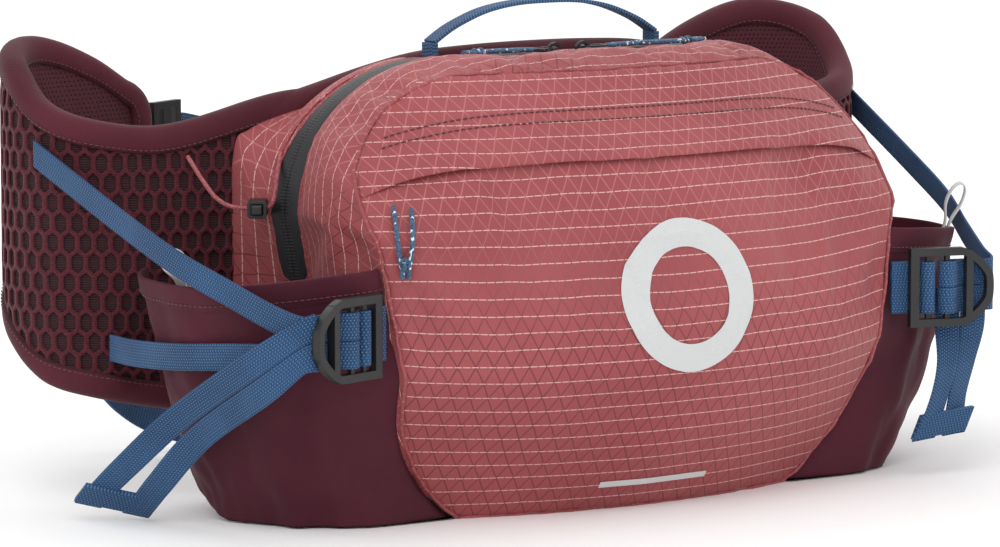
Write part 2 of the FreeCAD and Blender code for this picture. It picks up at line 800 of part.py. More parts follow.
POCKET_TOP = ((146, -108.5), (196, 13), 46)  # plan arc of the mouth: start, end and rise
POCKET_FOOT = ((124, -100), (187, -4), 24)
POCKET_STEPS = 10


def on_arc(arc, share):
    """A point on a plan arc that bulges out to the right, at a share of its turn."""
    start, end, rise = Vector(*arc[0], 0), Vector(*arc[1], 0), arc[2]
    chord = end - start
    half = chord.Length / 2
    radius = (half * half + rise * rise) / (2 * rise)
    way = chord.normalize()
    out = Vector(way.y, -way.x, 0)
    centre = (start + end) * 0.5 - out * (radius - rise)
    reach = math.asin(min(1.0, half / radius))
    if rise > radius:
        reach = math.pi - reach
    angle = (2 * share - 1) * reach
    return centre + out * (radius * math.cos(angle)) + way * (radius * math.sin(angle))


def pocket_edges(share):
    """The pocket's foot and mouth at a share of the way from the front seam to the wing."""
    foot = on_arc(POCKET_FOOT, share)
    mouth = on_arc(POCKET_TOP, share)
    foot.z = 0.3 if share < 0.7 else 0.3 + 30 * (share - 0.7) / 0.3
    mouth.z = 121 - 9 * min(1.0, share * 2)
    return foot, mouth


def side_pocket(name, side):
    """A wall from the front seam round to the wing, its floor, the band of its hem and its finger loop."""
    hem_tall = 12
    wall, hem, floor = [], [], []
    for i in range(POCKET_STEPS + 1):
        foot, mouth = pocket_edges(i / POCKET_STEPS)
        up = (mouth - foot).normalize()
        seam = mouth - up * hem_tall
        for stations, low, high in ((wall, foot, seam), (hem, seam, mouth)):
            middle = (low + high) * 0.5
            edge = (high - low) * side
            stations.append(((side * middle.x, middle.y, middle.z), (side * edge.x, edge.y, edge.z)))
        inside = 97 + 1.6 * foot.z - 0.024 * foot.z * foot.z
        middle = Vector((inside + foot.x) / 2, foot.y, foot.z + 0.8)
        if foot.x - inside > 15:
            floor.append(((side * middle.x, middle.y, middle.z), (-(foot.x - inside), 0, 0)))
    half = V["wall"] / 2
    sides = strip(wall, -half, half)
    ground = strip(floor, -half, half)
    node(f"side_pocket_{name}", shaped(f"side_pocket_{name}", sides.fuse(ground)))
    node(f"pocket_hem_{name}", shaped(f"pocket_hem_{name}", strip(hem, -half - 0.2, half + 0.2)))


def finger_loop(name, side):
    """A small reflective loop inside the pocket's hem, standing up."""
    if side > 0:
        share, inward = 0.42, 4
        loop = [(-1.2, -9), (-1.2, 3), (-3.5, 12), (-2.5, 19), (0.8, 22), (4, 19), (4, 12), (1.2, 3), (1.2, -9)]
    else:
        share, inward = 0.62, 9.5
        loop = [(-1.2, -9), (-1.2, 1), (-4, 8), (-3, 14), (1, 16.5), (5, 13.5), (5.5, 7.5), (1.2, 1), (1.2, -9)]
    foot, mouth = pocket_edges(share)
    rise = (mouth - foot) / (mouth.z - foot.z)
    hem = (pocket_edges(share + 0.02)[1] - pocket_edges(share - 0.02)[1]).normalize()
    out = Vector(hem.y, -hem.x, 0)
    stations = []
    for across, up in loop:
        at = mouth + out * (across - inward) + rise * up
        stations.append(((side * at.x, at.y, at.z), (side * 8 * hem.x, 8 * hem.y, 0)))
    node(f"finger_loop_{name}", shaped(f"finger_loop_{name}", strip(stations, -0.45, 0.45)))


# ---- the bungee at the pocket's mouth, with its cord lock


BUNGEE_TURN = 33.7  # degrees: the cord lock's axis from the X axis, seen from above
BUNGEE_LOCK = (157, -23.3, 141)
BUNGEE_ROUTE = [
    (175.5, 9, 163.5), (174.5, 3, 157.5), (173, -3.5, 151), (171.5, -9.5, 145.5), (167.5, -15, 141.8),
    (162, -19.97, 141), (152.4, -26.37, 141), (150.6, -27.6, 145), (148.6, -26, 151.5), (145.3, -22.5, 158.5),
    (141.3, -18.5, 165.5),
]


def bungee(name, side):
    """The elastic cord from the wing through its cord lock to the bag, and the lock's shell and plunger."""
    route = on_side(side, BUNGEE_ROUTE)
    node(f"bungee_{name}", shaped(f"bungee_{name}", tube(f"bungee_{name}", route, V["elastic"])))
    place = Placement(Vector(side * BUNGEE_LOCK[0], *BUNGEE_LOCK[1:]), Rotation(Vector(0, 0, 1), BUNGEE_TURN * side))
    shell = new_body(f"cord_lock_{name}")
    pad(shell, "XZ", rectangle(-4.5, -4, 4.5, 4), -5.5, 13)
    fillet(shell, 1.5, lambda at, way: abs(way.y) > 0.9)
    pocket(shell, "XZ", rectangle(-2.8, -2.6, 2.8, 2.6), -5.5, 11.5)
    pocket(shell, "YZ", circle(0, 0, 1.5), -5, 10)
    shell.Placement = place
    node(f"cord_lock_{name}", shell)
    plunger = new_body(f"cord_plunger_{name}")
    pad(plunger, "XZ", rectangle(-2.5, -2.3, 2.5, 2.3), -8.5, 11.9)
    pocket(plunger, "YZ", rectangle(-3.9, -1.4, 1.4, 1.4), -5, 10)
    fillet(plunger, 0.8, lambda at, way: abs(at.y + 8.5) < 0.01)
    plunger.Placement = place
    node(f"cord_plunger_{name}", plunger)


# ---- the grab handle


def grab_handle():
    """A webbing loop on two sewn feet; it folds about the line through the tops of the feet."""
    foot, width, y = S["handle_foot"], S["handle_width"], S["handle_y"]
    feet = []
    for name, side in SIDES:
        x = S["handle_half"] * side
        low = (x - 1.6, y - width / 2, S["top"])
        feet.append(block(f"handle_foot_{name}", low, (x + 1.6, y + width / 2, S["top"] + foot)))
    node("handle_feet", fused("handle_feet", *feet))
    base = V["top"] + V["handle_foot"] + 0.3
    half = V["handle_half"]
    stations = []
    for share in (-1, -0.93, -0.8, -0.55, -0.28, 0, 0.28, 0.55, 0.8, 0.93, 1):
        rise = V["handle_rise"] * (1 - abs(share) ** 2.6)
        stations.append(((half * share, V["handle_y"], base + rise), (0, V["handle_width"], 0)))
    node("grab_handle", shaped("grab_handle", strip(stations, 0, 1.8)))


# ---- the belt: webbing, an adjuster with its tail, and a side release buckle


def belt_strip(route, width):
    thick = V["webbing_thick"] / 2
    return strip([(point, (0, 0, width)) for point in route], -thick, thick)


def belt():
    y, z = V["buckle_y"], V["buckle_z"]
    width = V["webbing"]
    reach = [(112, 123.5, 158.5), (80, 136, 151.5), (52, y, z)]
    right = [(137.5, 112, 163.5), *reach, (23.5, y, z)]
    node("belt_webbing_right", shaped("belt_webbing_right", belt_strip(right, width)))
    left = [(-41, y, z), *on_side(-1, reach[::-1]), (-116, 121.5, 159)]
    node("belt_webbing_left", shaped("belt_webbing_left", belt_strip(left, width)))

    turn = 24
    adjuster = new_body("belt_adjuster")
    high = 17
    hole = width / 2 + 1
    windows = [rectangle(x, -hole, x + 4, hole) for x in (-7.5, 3.5)]
    pad(adjuster, "XZ", rectangle(-11, -high, 11, high), -1.6, 3.2, holes=windows)
    adjuster.Placement = Placement(Vector(-126.3, 116.9, 161), Rotation(Vector(0, 0, 1), turn))
    node("belt_adjuster", adjuster)
    tail = [
        ((-139, 120.5, 161), (0, 0, 1)), ((-158, 121.5, 155), (0.1, 0, 1)), ((-172, 124, 134), (0.8, 0, 0.6)),
        ((-178, 128, 104), (1, 0.1, 0.1)), ((-175, 132, 74), (0.9, 0.1, -0.3)), ((-163, 135, 48), (0.6, 0, -0.8)),
        ((-140, 138, 30), (0.35, 0, -0.93)), ((-113, 139, 18), (0.3, 0, -0.95)), ((-84, 138, 14), (0, 0, -1)),
    ]
    stations = [(point, tuple(Vector(*edge).normalize() * width)) for point, edge in tail]
    half = V["webbing_thick"] / 2
    node("belt_tail", shaped("belt_tail", strip(stations, -half, half)))


def buckle():
    """A side release buckle: the socket on the left, and a plug with two prongs on the right."""
    y, z = S["buckle_y"], S["buckle_z"]
    high, thick = S["buckle_height"] / 2, S["buckle_thick"]
    start = y - thick / 2
    socket = new_body("buckle_socket")
    left, mouth = -38, 0
    case = [
        (left + 6, z - high), (mouth, z - high), (mouth, z + high), (left + 6, z + high),
        (left, z + high - 5), (left, z - high + 5),
    ]
    pad(socket, "XZ", case, start, thick)
    pocket(socket, "YZ", rectangle(y - 3.2, z - high + 2.6, y + 3.2, z + high - 2.6), -25, 26)
    for low, top in ((z - high - 1, z - high + 8), (z + high - 8, z + high + 1)):
        pocket(socket, "XZ", rectangle(-21, low, -10, top), start - 1, thick + 2)
    pocket(socket, "XZ", rectangle(-34, z - 13.5, -29.5, z + 13.5), start - 1, thick + 2)
    node("buckle_socket", socket)

    plug = new_body("buckle_plug")
    slope = high - 2
    shoulder = [(0.4, z - high), (14, z - high), (20, z - slope), (20, z + slope), (14, z + high), (0.4, z + high)]
    pad(plug, "XZ", shoulder, start, thick)
    pocket(plug, "XZ", rectangle(11.5, z - 13.5, 16, z + 13.5), start - 1, thick + 2)
    pad(plug, "XZ", rectangle(-23, z - 2.4, 0.5, z + 2.4), y - 1.8, 3.6)
    node("buckle_plug", plug)
    for label, way in (("lower", -1), ("upper", 1)):
        prong = new_body(f"buckle_prong_{label}")
        inner, outer, barb = z + way * 5.6, z + way * 8.4, z + way * (high - 0.6)
        profile = [
            (0.1, inner), (0.1, outer), (-10.6, outer), (-10.6, barb), (-15, barb), (-22.5, z + way * 9), (-22.5, inner),
        ]
        profile = profile if way > 0 else profile[::-1]
        pad(prong, "XZ", profile, y - 2.6, 5.2)
        node(f"buckle_prong_{label}", prong)


# ---- everything


bag_fabric()
front_pocket()
main_zip()
lumbar_pad()
badges()
zip_pulls()
front_zip_pull()
for NAME, SIDE in SIDES:
    ladder_lock(f"ladder_lock_{NAME}", SIDE)
    lock_tab(f"lock_tab_{NAME}", SIDE)
    lock_strap(NAME, SIDE)
    belt_wing(NAME, SIDE)
    side_pocket(NAME, SIDE)
    finger_loop(NAME, SIDE)
    bungee(NAME, SIDE)
grab_handle()
belt()
buckle()

DOC.recompute()
failed = [thing.Name for thing in DOC.Objects if {"Invalid", "Error"} & set(thing.State)]
assert not failed, f"objects that failed: {failed}"
broken = [label for label, thing in NODES.items() if thing.Shape.isNull() or not thing.Shape.isValid()]
assert not broken, f"nodes with no valid shape: {broken}"
os.makedirs("parts", exist_ok=True)
for label, thing in NODES.items():
    thing.Shape.exportStep(f"parts/{label}.step")
print(f"{len(NODES)} nodes")
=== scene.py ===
import math

import bmesh
import bpy
import numpy as np
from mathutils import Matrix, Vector, noise
from mathutils.bvhtree import BVHTree


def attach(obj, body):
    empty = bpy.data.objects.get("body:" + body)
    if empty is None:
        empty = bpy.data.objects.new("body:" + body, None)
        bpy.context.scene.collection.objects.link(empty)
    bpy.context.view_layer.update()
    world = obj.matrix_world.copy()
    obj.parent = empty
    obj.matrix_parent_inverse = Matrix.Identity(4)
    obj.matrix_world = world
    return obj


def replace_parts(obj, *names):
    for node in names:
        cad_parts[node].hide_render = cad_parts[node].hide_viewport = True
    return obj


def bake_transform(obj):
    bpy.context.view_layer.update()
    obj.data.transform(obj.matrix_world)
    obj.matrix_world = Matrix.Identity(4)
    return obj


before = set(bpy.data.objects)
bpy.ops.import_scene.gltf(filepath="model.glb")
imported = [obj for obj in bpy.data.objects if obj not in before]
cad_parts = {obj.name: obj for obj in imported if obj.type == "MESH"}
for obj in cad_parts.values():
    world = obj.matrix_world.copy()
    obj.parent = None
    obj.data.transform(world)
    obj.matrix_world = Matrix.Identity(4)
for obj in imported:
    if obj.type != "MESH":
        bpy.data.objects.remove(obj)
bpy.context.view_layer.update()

SCENE = bpy.context.scene
MM = 0.001
SIDES = (("left", -1), ("right", 1))
BAG = "bag"


# ---- camera, light and floor


def place_camera():
    camera = bpy.data.objects.new("camera", bpy.data.cameras.new("camera"))
    SCENE.collection.objects.link(camera)
    camera.data.lens = 195.3
    camera.data.sensor_width = 36
    camera.data.clip_end = 50
    camera.location = (-1.4212, -2.1716, 0.4328)
    look = Vector((-0.0682, -0.0923, 0.112)) - camera.location
    camera.rotation_euler = look.to_track_quat("-Z", "Y").to_euler()
    SCENE.camera = camera


def area_light(name, place, target, size, power):
    light = bpy.data.objects.new(name, bpy.data.lights.new(name, "AREA"))
    SCENE.collection.objects.link(light)
    light.data.shape = "RECTANGLE"
    light.data.size, light.data.size_y = size
    light.data.energy = power
    light.location = place
    light.rotation_euler = (Vector(target) - Vector(place)).to_track_quat("-Z", "Y").to_euler()


def studio():
    SCENE.view_settings.view_transform = "Standard"
    SCENE.view_settings.look = "None"
    world = bpy.data.worlds.new("world")
    SCENE.world = world
    world.use_nodes = True
    world.node_tree.nodes["Background"].inputs["Color"].default_value = (1, 1, 1, 1)
    world.node_tree.nodes["Background"].inputs["Strength"].default_value = 1.04
    area_light("key", (-1.3, -1.2, 2.1), (0, -0.05, 0.08), (1.5, 1.5), 14)
    area_light("fill", (1.6, -1.9, 1.0), (0, -0.05, 0.1), (1.6, 1.2), 4)
    area_light("rim", (0.4, 1.8, 1.7), (0, 0, 0.12), (1.8, 0.8), 5)
    floor = bpy.data.meshes.new("floor")
    floor.from_pydata([(-6, -6, 0), (6, -6, 0), (6, 6, 0), (-6, 6, 0)], [], [(0, 1, 2, 3)])
    ground = bpy.data.objects.new("floor", floor)
    SCENE.collection.objects.link(ground)
    paper = Graph("floor_paper", (0.97, 0.97, 0.97), 0.95, Specular_IOR_Level=0.0)
    floor.materials.append(paper.material)


# ---- materials: each is a Principled shader fed by procedural nodes


class Graph:
    """A Principled material, with short names for the nodes that feed it.

    The uv map is in millimetres of cloth."""

    def __init__(self, name, colour, roughness, **sockets):
        self.material = bpy.data.materials.new(name)
        self.material.use_nodes = True
        self.tree = self.material.node_tree
        self.shader = self.tree.nodes["Principled BSDF"]
        self.shader.inputs["Base Color"].default_value = (*colour, 1)
        self.shader.inputs["Roughness"].default_value = roughness
        for label, value in sockets.items():
            self.shader.inputs[label.replace("_", " ")].default_value = value

    def new(self, kind, **settings):
        node = self.tree.nodes.new(kind)
        for label, value in settings.items():
            setattr(node, label, value)
        return node

    def feed(self, socket, value):
        if isinstance(value, bpy.types.NodeSocket):
            self.tree.links.new(value, socket)
        else:
            socket.default_value = value

    def math(self, operation, *inputs):
        node = self.new("ShaderNodeMath", operation=operation)
        for socket, value in zip(node.inputs, inputs):
            self.feed(socket, value)
        return node.outputs[0]

    def uv(self):
        split = self.new("ShaderNodeSeparateXYZ")
        self.feed(split.inputs[0], self.new("ShaderNodeUVMap", uv_map="cloth").outputs[0])
        return split.outputs[0], split.outputs[1]

    def place(self):
        return self.new("ShaderNodeTexCoord").outputs["Object"]

    def noise(self, scale, detail=2.0, stretch=None):
        """Noise over the object's own place in metres, or stretched."""
        at = self.place()
        if stretch:
            mapping = self.new("ShaderNodeMapping")
            mapping.inputs["Scale"].default_value = stretch
            self.feed(mapping.inputs[0], at)
            at = mapping.outputs[0]
        node = self.new("ShaderNodeTexNoise")
        self.feed(node.inputs["Vector"], at)
        node.inputs["Scale"].default_value = scale
        node.inputs["Detail"].default_value = detail
        return node.outputs["Fac"]

    def ramp(self, value, low, high):
        """0 below low, 1 above high, smooth between; low may be the larger."""
        node = self.new("ShaderNodeMapRange", interpolation_type="SMOOTHSTEP")
        self.feed(node.inputs["Value"], value)
        node.inputs["From Min"].default_value = low
        node.inputs["From Max"].default_value = high
        return node.outputs["Result"]

    def lines(self, value, pitch, width, soft=0.25):
        """1 on lines of that width, a pitch apart."""
        share = self.math("FRACT", self.math("ADD", self.math("DIVIDE", value, pitch), 0.5))
        far = self.math("MULTIPLY", self.math("ABSOLUTE", self.math("SUBTRACT", share, 0.5)), pitch)
        return self.ramp(far, width / 2 + soft, width / 2)

    def wave(self, value, pitch):
        """0 to 1 and back, once every pitch."""
        turn = self.math("SINE", self.math("MULTIPLY", value, 2 * math.pi / pitch))
        return self.math("MULTIPLY_ADD", turn, 0.5, 0.5)

    def mix(self, share, one, two):
        node = self.new("ShaderNodeMix", data_type="RGBA")
        self.feed(node.inputs[0], share)
        for socket, value in ((node.inputs[6], one), (node.inputs[7], two)):
            self.feed(socket, (*value, 1) if isinstance(value, tuple) else value)
        return node.outputs[2]

    def colour(self, value):
        self.feed(self.shader.inputs["Base Color"], value)

    def roughness(self, value):
        self.feed(self.shader.inputs["Roughness"], value)

    def bump(self, height, distance, strength=1.0):
        """Adds relief of that distance in millimetres; several calls add up."""
        node = self.new("ShaderNodeBump")
        node.inputs["Strength"].default_value = strength
        node.inputs["Distance"].default_value = distance * MM
        self.feed(node.inputs["Height"], height)
        before = self.shader.inputs["Normal"].links
        if before:
            self.feed(node.inputs["Normal"], before[0].from_socket)
        self.feed(self.shader.inputs["Normal"], node.outputs[0])


def ripstop(name, turned=False):
    """Coated ripstop: pale dashed threads every 7.7 mm, and two families of thin diagonal threads, which on
    the front are painted lighter towards the top as a painted highlight.
    """
    g = Graph(name, (0.4, 0.1, 0.105), 0.6, Sheen_Weight=0.08, Sheen_Roughness=0.4, Specular_IOR_Level=0.3)
    u, v = g.uv()
    row = 7.7
    pale_line = g.lines(v, row, 0.26, 0.22)
    dash = g.ramp(g.wave(u, row / 2), 0.02, 0.08)
    slope_one = g.math("MULTIPLY_ADD", v, 0.5, g.math("MULTIPLY", u, row / 8.2))
    slope_two = g.math("MULTIPLY_ADD", v, -0.5, g.math("MULTIPLY", u, row / 8.2))
    cross = g.math("MAXIMUM", g.lines(slope_one, row, 0.3, 0.3), g.lines(slope_two, row, 0.3, 0.3))
    worn = g.noise(9, 3)
    cloth = g.mix(g.ramp(worn, 0.35, 0.7), (0.30, 0.062, 0.068), (0.36, 0.085, 0.09))
    cloth = g.mix(g.math("MULTIPLY", g.noise(900, 2), 0.3), cloth, (0.22, 0.04, 0.045))
    # On the front the diagonal threads go from dark to pale with height on the cloth: a painted highlight
    # where light falls on the upper front. On the side cloth the same mix follows random noise, a real tone.
    thread_highlight_and_tone = g.ramp(v, 78, 165) if not turned else g.ramp(g.noise(14, 1), 0.4, 0.6)
    thread = g.mix(thread_highlight_and_tone, (0.1, 0.01, 0.016), (0.5, 0.17, 0.17))
    cloth = g.mix(g.math("MULTIPLY", cross, 0.62), cloth, thread)
    cloth = g.mix(g.math("MULTIPLY", g.math("MULTIPLY", pale_line, dash), 0.78), cloth, (0.78, 0.48, 0.46))
    g.colour(cloth)
    g.bump(g.math("ADD", pale_line, g.math("MULTIPLY", cross, -0.6)), 0.12)
    g.bump(g.noise(1500, 1), 0.05)
    g.bump(g.noise(60, 3), 0.5, 0.5)
    return g.material


def stretch_knit():
    g = Graph("stretch_knit", (0.07, 0.016, 0.027), 0.72,
              Sheen_Weight=0.05, Sheen_Roughness=0.35, Specular_IOR_Level=0.25)
    u, v = g.uv()
    shade = g.mix(g.ramp(g.noise(14, 3), 0.3, 0.7), (0.058, 0.0065, 0.0165), (0.083, 0.0105, 0.0235))
    rib = g.math("MULTIPLY", g.wave(u, 0.9), g.wave(v, 1.2))
    g.colour(g.mix(g.math("MULTIPLY", rib, 0.3), shade, (0.04, 0.008, 0.015)))
    g.bump(rib, 0.06)
    g.bump(g.noise(55, 3), 0.8, 0.4)
    return g.material


def mesh_bars():
    g = Graph("mesh_bars", (0.1, 0.02, 0.03), 0.8, Sheen_Weight=0.1, Specular_IOR_Level=0.2)
    fuzz = g.noise(1400, 3)
    g.colour(g.mix(g.ramp(fuzz, 0.35, 0.65), (0.055, 0.007, 0.013), (0.105, 0.016, 0.024)))
    g.bump(fuzz, 0.25)
    return g.material


def mesh_backing():
    """The far layer seen through the open mesh: dark, with fine ladders of thread."""
    g = Graph("mesh_backing", (0.02, 0.005, 0.008), 0.9)
    v = g.uv()[1]
    rungs = g.lines(v, 1.15, 0.4, 0.25)
    g.colour(g.mix(g.math("MULTIPLY", rungs, 0.8), (0.012, 0.003, 0.005), (0.06, 0.012, 0.018)))
    g.bump(rungs, 0.3)
    return g.material


def fine_mesh():
    g = Graph("fine_mesh", (0.09, 0.02, 0.03), 0.8, Sheen_Weight=0.1, Specular_IOR_Level=0.2)
    u, v = g.uv()
    holes = g.math("MULTIPLY", g.wave(g.math("ADD", u, g.math("MULTIPLY", v, 0.5)), 2.6), g.wave(v, 2.2))
    # The holes are painted near black, as painted shade inside the mesh's recesses. The same mask also sinks
    # them in the bump.
    hole_depth_and_shade = g.ramp(holes, 0.45, 0.75)
    g.colour(g.mix(hole_depth_and_shade, (0.085, 0.018, 0.028), (0.012, 0.003, 0.005)))
    g.bump(hole_depth_and_shade, -0.5)
    return g.material


def binding_tape():
    g = Graph("binding_tape", (0.085, 0.018, 0.028), 0.7, Sheen_Weight=0.05, Specular_IOR_Level=0.25)
    u, v = g.uv()
    twill = g.wave(g.math("ADD", u, g.math("MULTIPLY", v, 0.8)), 0.9)
    tone = g.mix(g.ramp(g.noise(16, 3), 0.3, 0.7), (0.064, 0.0065, 0.0135), (0.098, 0.0115, 0.0225))
    g.colour(g.mix(g.math("MULTIPLY", twill, 0.35), tone, (0.04, 0.008, 0.013)))
    g.bump(twill, 0.12)
    g.bump(g.noise(70, 2), 0.4, 0.5)
    return g.material


def webbing():
    """Flat webbing: a blue ground with rows of small pale flecks."""
    g = Graph("webbing", (0.04, 0.11, 0.23), 0.65, Sheen_Weight=0.06, Specular_IOR_Level=0.3)
    u, v = g.uv()
    shift = g.math("ADD", v, g.math("MULTIPLY", g.math("FLOOR", g.math("DIVIDE", u, 1.3)), 0.8))
    fleck = g.math("MULTIPLY", g.wave(u, 1.3), g.wave(shift, 1.6))
    ribs = g.lines(g.math("ADD", v, g.math("MULTIPLY", u, 0.15)), 1.6, 0.5, 0.4)
    tone = g.mix(g.ramp(g.noise(24, 2), 0.35, 0.65), (0.012, 0.058, 0.16), (0.023, 0.088, 0.222))
    tone = g.mix(g.math("MULTIPLY", ribs, 0.5), tone, (0.006, 0.02, 0.055))
    g.colour(g.mix(g.math("MULTIPLY", g.ramp(fleck, 0.5, 0.8), 0.7), tone, (0.13, 0.27, 0.43)))
    g.bump(g.math("ADD", fleck, ribs), 0.22)
    return g.material


def flecked_cord():
    g = Graph("flecked_cord", (0.06, 0.15, 0.27), 0.6, Sheen_Weight=0.2)
    spots = g.ramp(g.noise(620, 1, (1, 1, 0.6)), 0.6, 0.66)
    tone = g.mix(g.ramp(g.noise(900, 2), 0.4, 0.6), (0.014, 0.05, 0.11), (0.04, 0.12, 0.22))
    g.colour(g.mix(spots, tone, (0.75, 0.8, 0.83)))
    g.bump(g.noise(1300, 2), 0.25)
    return g.material


def elastic_cord():
    g = Graph("elastic_cord", (0.45, 0.11, 0.13), 0.6, Sheen_Weight=0.25)
    g.colour(g.mix(g.ramp(g.noise(1100, 2), 0.4, 0.62), (0.24, 0.04, 0.055), (0.42, 0.1, 0.11)))
    g.bump(g.noise(1500, 1), 0.2)
    return g.material


def moulded_plastic(name, shade):
    g = Graph(name, (shade, shade, shade * 1.06), 0.42)
    dark = (shade * 0.85,) * 3
    pale = (shade * 1.25, shade * 1.25, shade * 1.35)
    g.colour(g.mix(g.ramp(g.noise(40, 3), 0.3, 0.7), dark, pale))
    g.roughness(g.math("MULTIPLY_ADD", g.noise(300, 3), 0.22, 0.32))
    rounded = g.new("ShaderNodeBevel", samples=6)
    rounded.inputs["Radius"].default_value = 0.5 * MM
    g.feed(g.shader.inputs["Normal"], rounded.outputs[0])
    g.bump(g.noise(2200, 2), 0.04)
    return g.material


def painted_metal():
    g = Graph("painted_metal", (0.05, 0.05, 0.055), 0.35, Metallic=0.75)
    g.colour(g.mix(g.ramp(g.noise(500, 3), 0.55, 0.75), (0.04, 0.04, 0.045), (0.16, 0.16, 0.17)))
    rounded = g.new("ShaderNodeBevel", samples=6)
    rounded.inputs["Radius"].default_value = 0.4 * MM
    g.feed(g.shader.inputs["Normal"], rounded.outputs[0])
    g.bump(g.noise(1600, 2), 0.03)
    return g.material


def coated_tape():
    """Matt coated zip tape: u runs across it from its centre line."""
    g = Graph("coated_tape", (0.012, 0.012, 0.014), 0.5)
    u, v = g.uv()
    middle = g.ramp(g.math("ABSOLUTE", u), 0.55, 0.15)
    teeth = g.math("MULTIPLY", g.wave(v, 1.5), g.ramp(g.math("ABSOLUTE", u), 2.6, 1.8))
    g.colour(g.mix(g.noise(700, 2), (0.009, 0.009, 0.011), (0.02, 0.02, 0.023)))
    g.bump(g.math("SUBTRACT", g.math("MULTIPLY", teeth, 0.35), middle), 0.35)
    g.bump(g.noise(900, 2), 0.08)
    return g.material


def reflective_print():
    g = Graph("reflective_print", (0.56, 0.57, 0.57), 0.5)
    g.colour(g.mix(g.noise(1800, 1), (0.5, 0.51, 0.51), (0.64, 0.65, 0.65)))
    g.bump(g.noise(2500, 1), 0.04)
    return g.material


def thread_of(name, colour):
    g = Graph(name, colour, 0.6, Sheen_Weight=0.3)
    g.colour(g.mix(g.noise(1800, 1), colour, tuple(c * 0.6 for c in colour)))
    g.bump(g.noise(3000, 1), 0.05)
    return g.material


# ---- mesh helpers, in millimetres


def piece(name, points, faces, material, body=BAG, uvs=None, smooth=True):
    """A mesh from points in millimetres. uvs has a pair for each vertex, or a list of pairs for each face."""
    mesh = bpy.data.meshes.new(name)
    mesh.from_pydata([tuple(c * MM for c in p) for p in points], [], faces)
    if uvs is not None:
        layer = mesh.uv_layers.new(name="cloth")
        for polygon in mesh.polygons:
            for k, loop in enumerate(polygon.loop_indices):
                corner = uvs[polygon.index][k] if len(uvs) == len(faces) and isinstance(uvs[0], list) else \
                    uvs[mesh.loops[loop].vertex_index]
                layer.data[loop].uv = corner
    mesh.polygons.foreach_set("use_smooth", [smooth] * len(mesh.polygons))
    mesh.materials.append(material)
    thing = bpy.data.objects.new(name, mesh)
    SCENE.collection.objects.link(thing)
    if body:
        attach(thing, body)
    return thing


def grid_faces(rows, columns, start=0, closed=False):
    faces = []
    for i in range(rows - 1):
        for j in range(columns if closed else columns - 1):
            k = (j + 1) % columns
            a, b = start + i * columns, start + (i + 1) * columns
            faces.append((a + j, a + k, b + k, b + j))
    return faces


def thicken(thing, thick, offset=-1.0, bevel=0.0):
    modifier = thing.modifiers.new("thickness", "SOLIDIFY")
    modifier.thickness = thick * MM
    modifier.offset = offset
    modifier.use_even_offset = False
    if bevel:
        rounding = thing.modifiers.new("edges", "BEVEL")
        rounding.width = bevel * MM
        rounding.segments = 2
        rounding.limit_method = "ANGLE"
        rounding.angle_limit = math.radians(50)
    return thing


def refine(thing, levels=1):
    modifier = thing.modifiers.new("refine", "SUBSURF")
    modifier.levels = modifier.render_levels = levels
    return thing


def smooth_run(values, step):
    """Catmull-Rom through rows of numbers whose first three are a point, sampled about every step."""
    rows = [np.array(v, float) for v in values]
    rows = [2 * rows[0] - rows[1], *rows, 2 * rows[-1] - rows[-2]]
    out = []
    for a, b, c, d in zip(rows, rows[1:], rows[2:], rows[3:]):
        count = max(1, int(np.linalg.norm(c[:3] - b[:3]) / step))
        for k in range(count):
            t = k / count
            square, cube = 2 * a - 5 * b + 4 * c - d, 3 * b - a - 3 * c + d
            out.append(0.5 * (2 * b + (c - a) * t + square * t * t + cube * t**3))
    out.append(rows[-2])
    return out


def ribbon(name, stations, thick, material, body=BAG, step=2.5, columns=7):
    """Flat webbing through stations of (point, edge vector), with its middle on the stations."""
    run = smooth_run([(*p, *e) for p, e in stations], step)
    points, uvs, along = [], [], 0.0
    for i, row in enumerate(run):
        if i:
            along += float(np.linalg.norm(row[:3] - run[i - 1][:3]))
        for j in range(columns):
            share = j / (columns - 1) - 0.5
            points.append(tuple(row[:3] + row[3:] * share))
            uvs.append((share * float(np.linalg.norm(row[3:])), along))
    thing = piece(name, points, grid_faces(len(run), columns), material, body, uvs)
    return thicken(thing, thick, 0.0, bevel=0.3)


def tube_along(points, radius, sides=8, up=Vector((0, 0, 1)), closed=False):
    """Vertices and faces of a round tube along points in millimetres."""
    verts, faces = [], []
    count = len(points)
    side = None
    for i in range(count):
        if closed:
            way = points[(i + 1) % count] - points[i - 1]
        else:
            way = points[min(i + 1, count - 1)] - points[max(i - 1, 0)]
        way = way.normalized()
        side = (side - way * side.dot(way)).normalized() if side else way.cross(up).normalized()
        other = way.cross(side)
        r = radius(i / max(1, count - 1)) if callable(radius) else radius
        for k in range(sides):
            a = 2 * math.pi * k / sides
            verts.append(points[i] + side * (math.cos(a) * r) + other * (math.sin(a) * r))
    rows = count + 1 if closed else count
    for i in range(rows - 1):
        for k in range(sides):
            m = (k + 1) % sides
            a, b = i * sides, ((i + 1) % count) * sides
            faces.append((a + k, a + m, b + m, b + k))
    if not closed:
        faces.append(tuple(range(sides))[::-1])
        faces.append(tuple(range((count - 1) * sides, count * sides)))
    return verts, faces


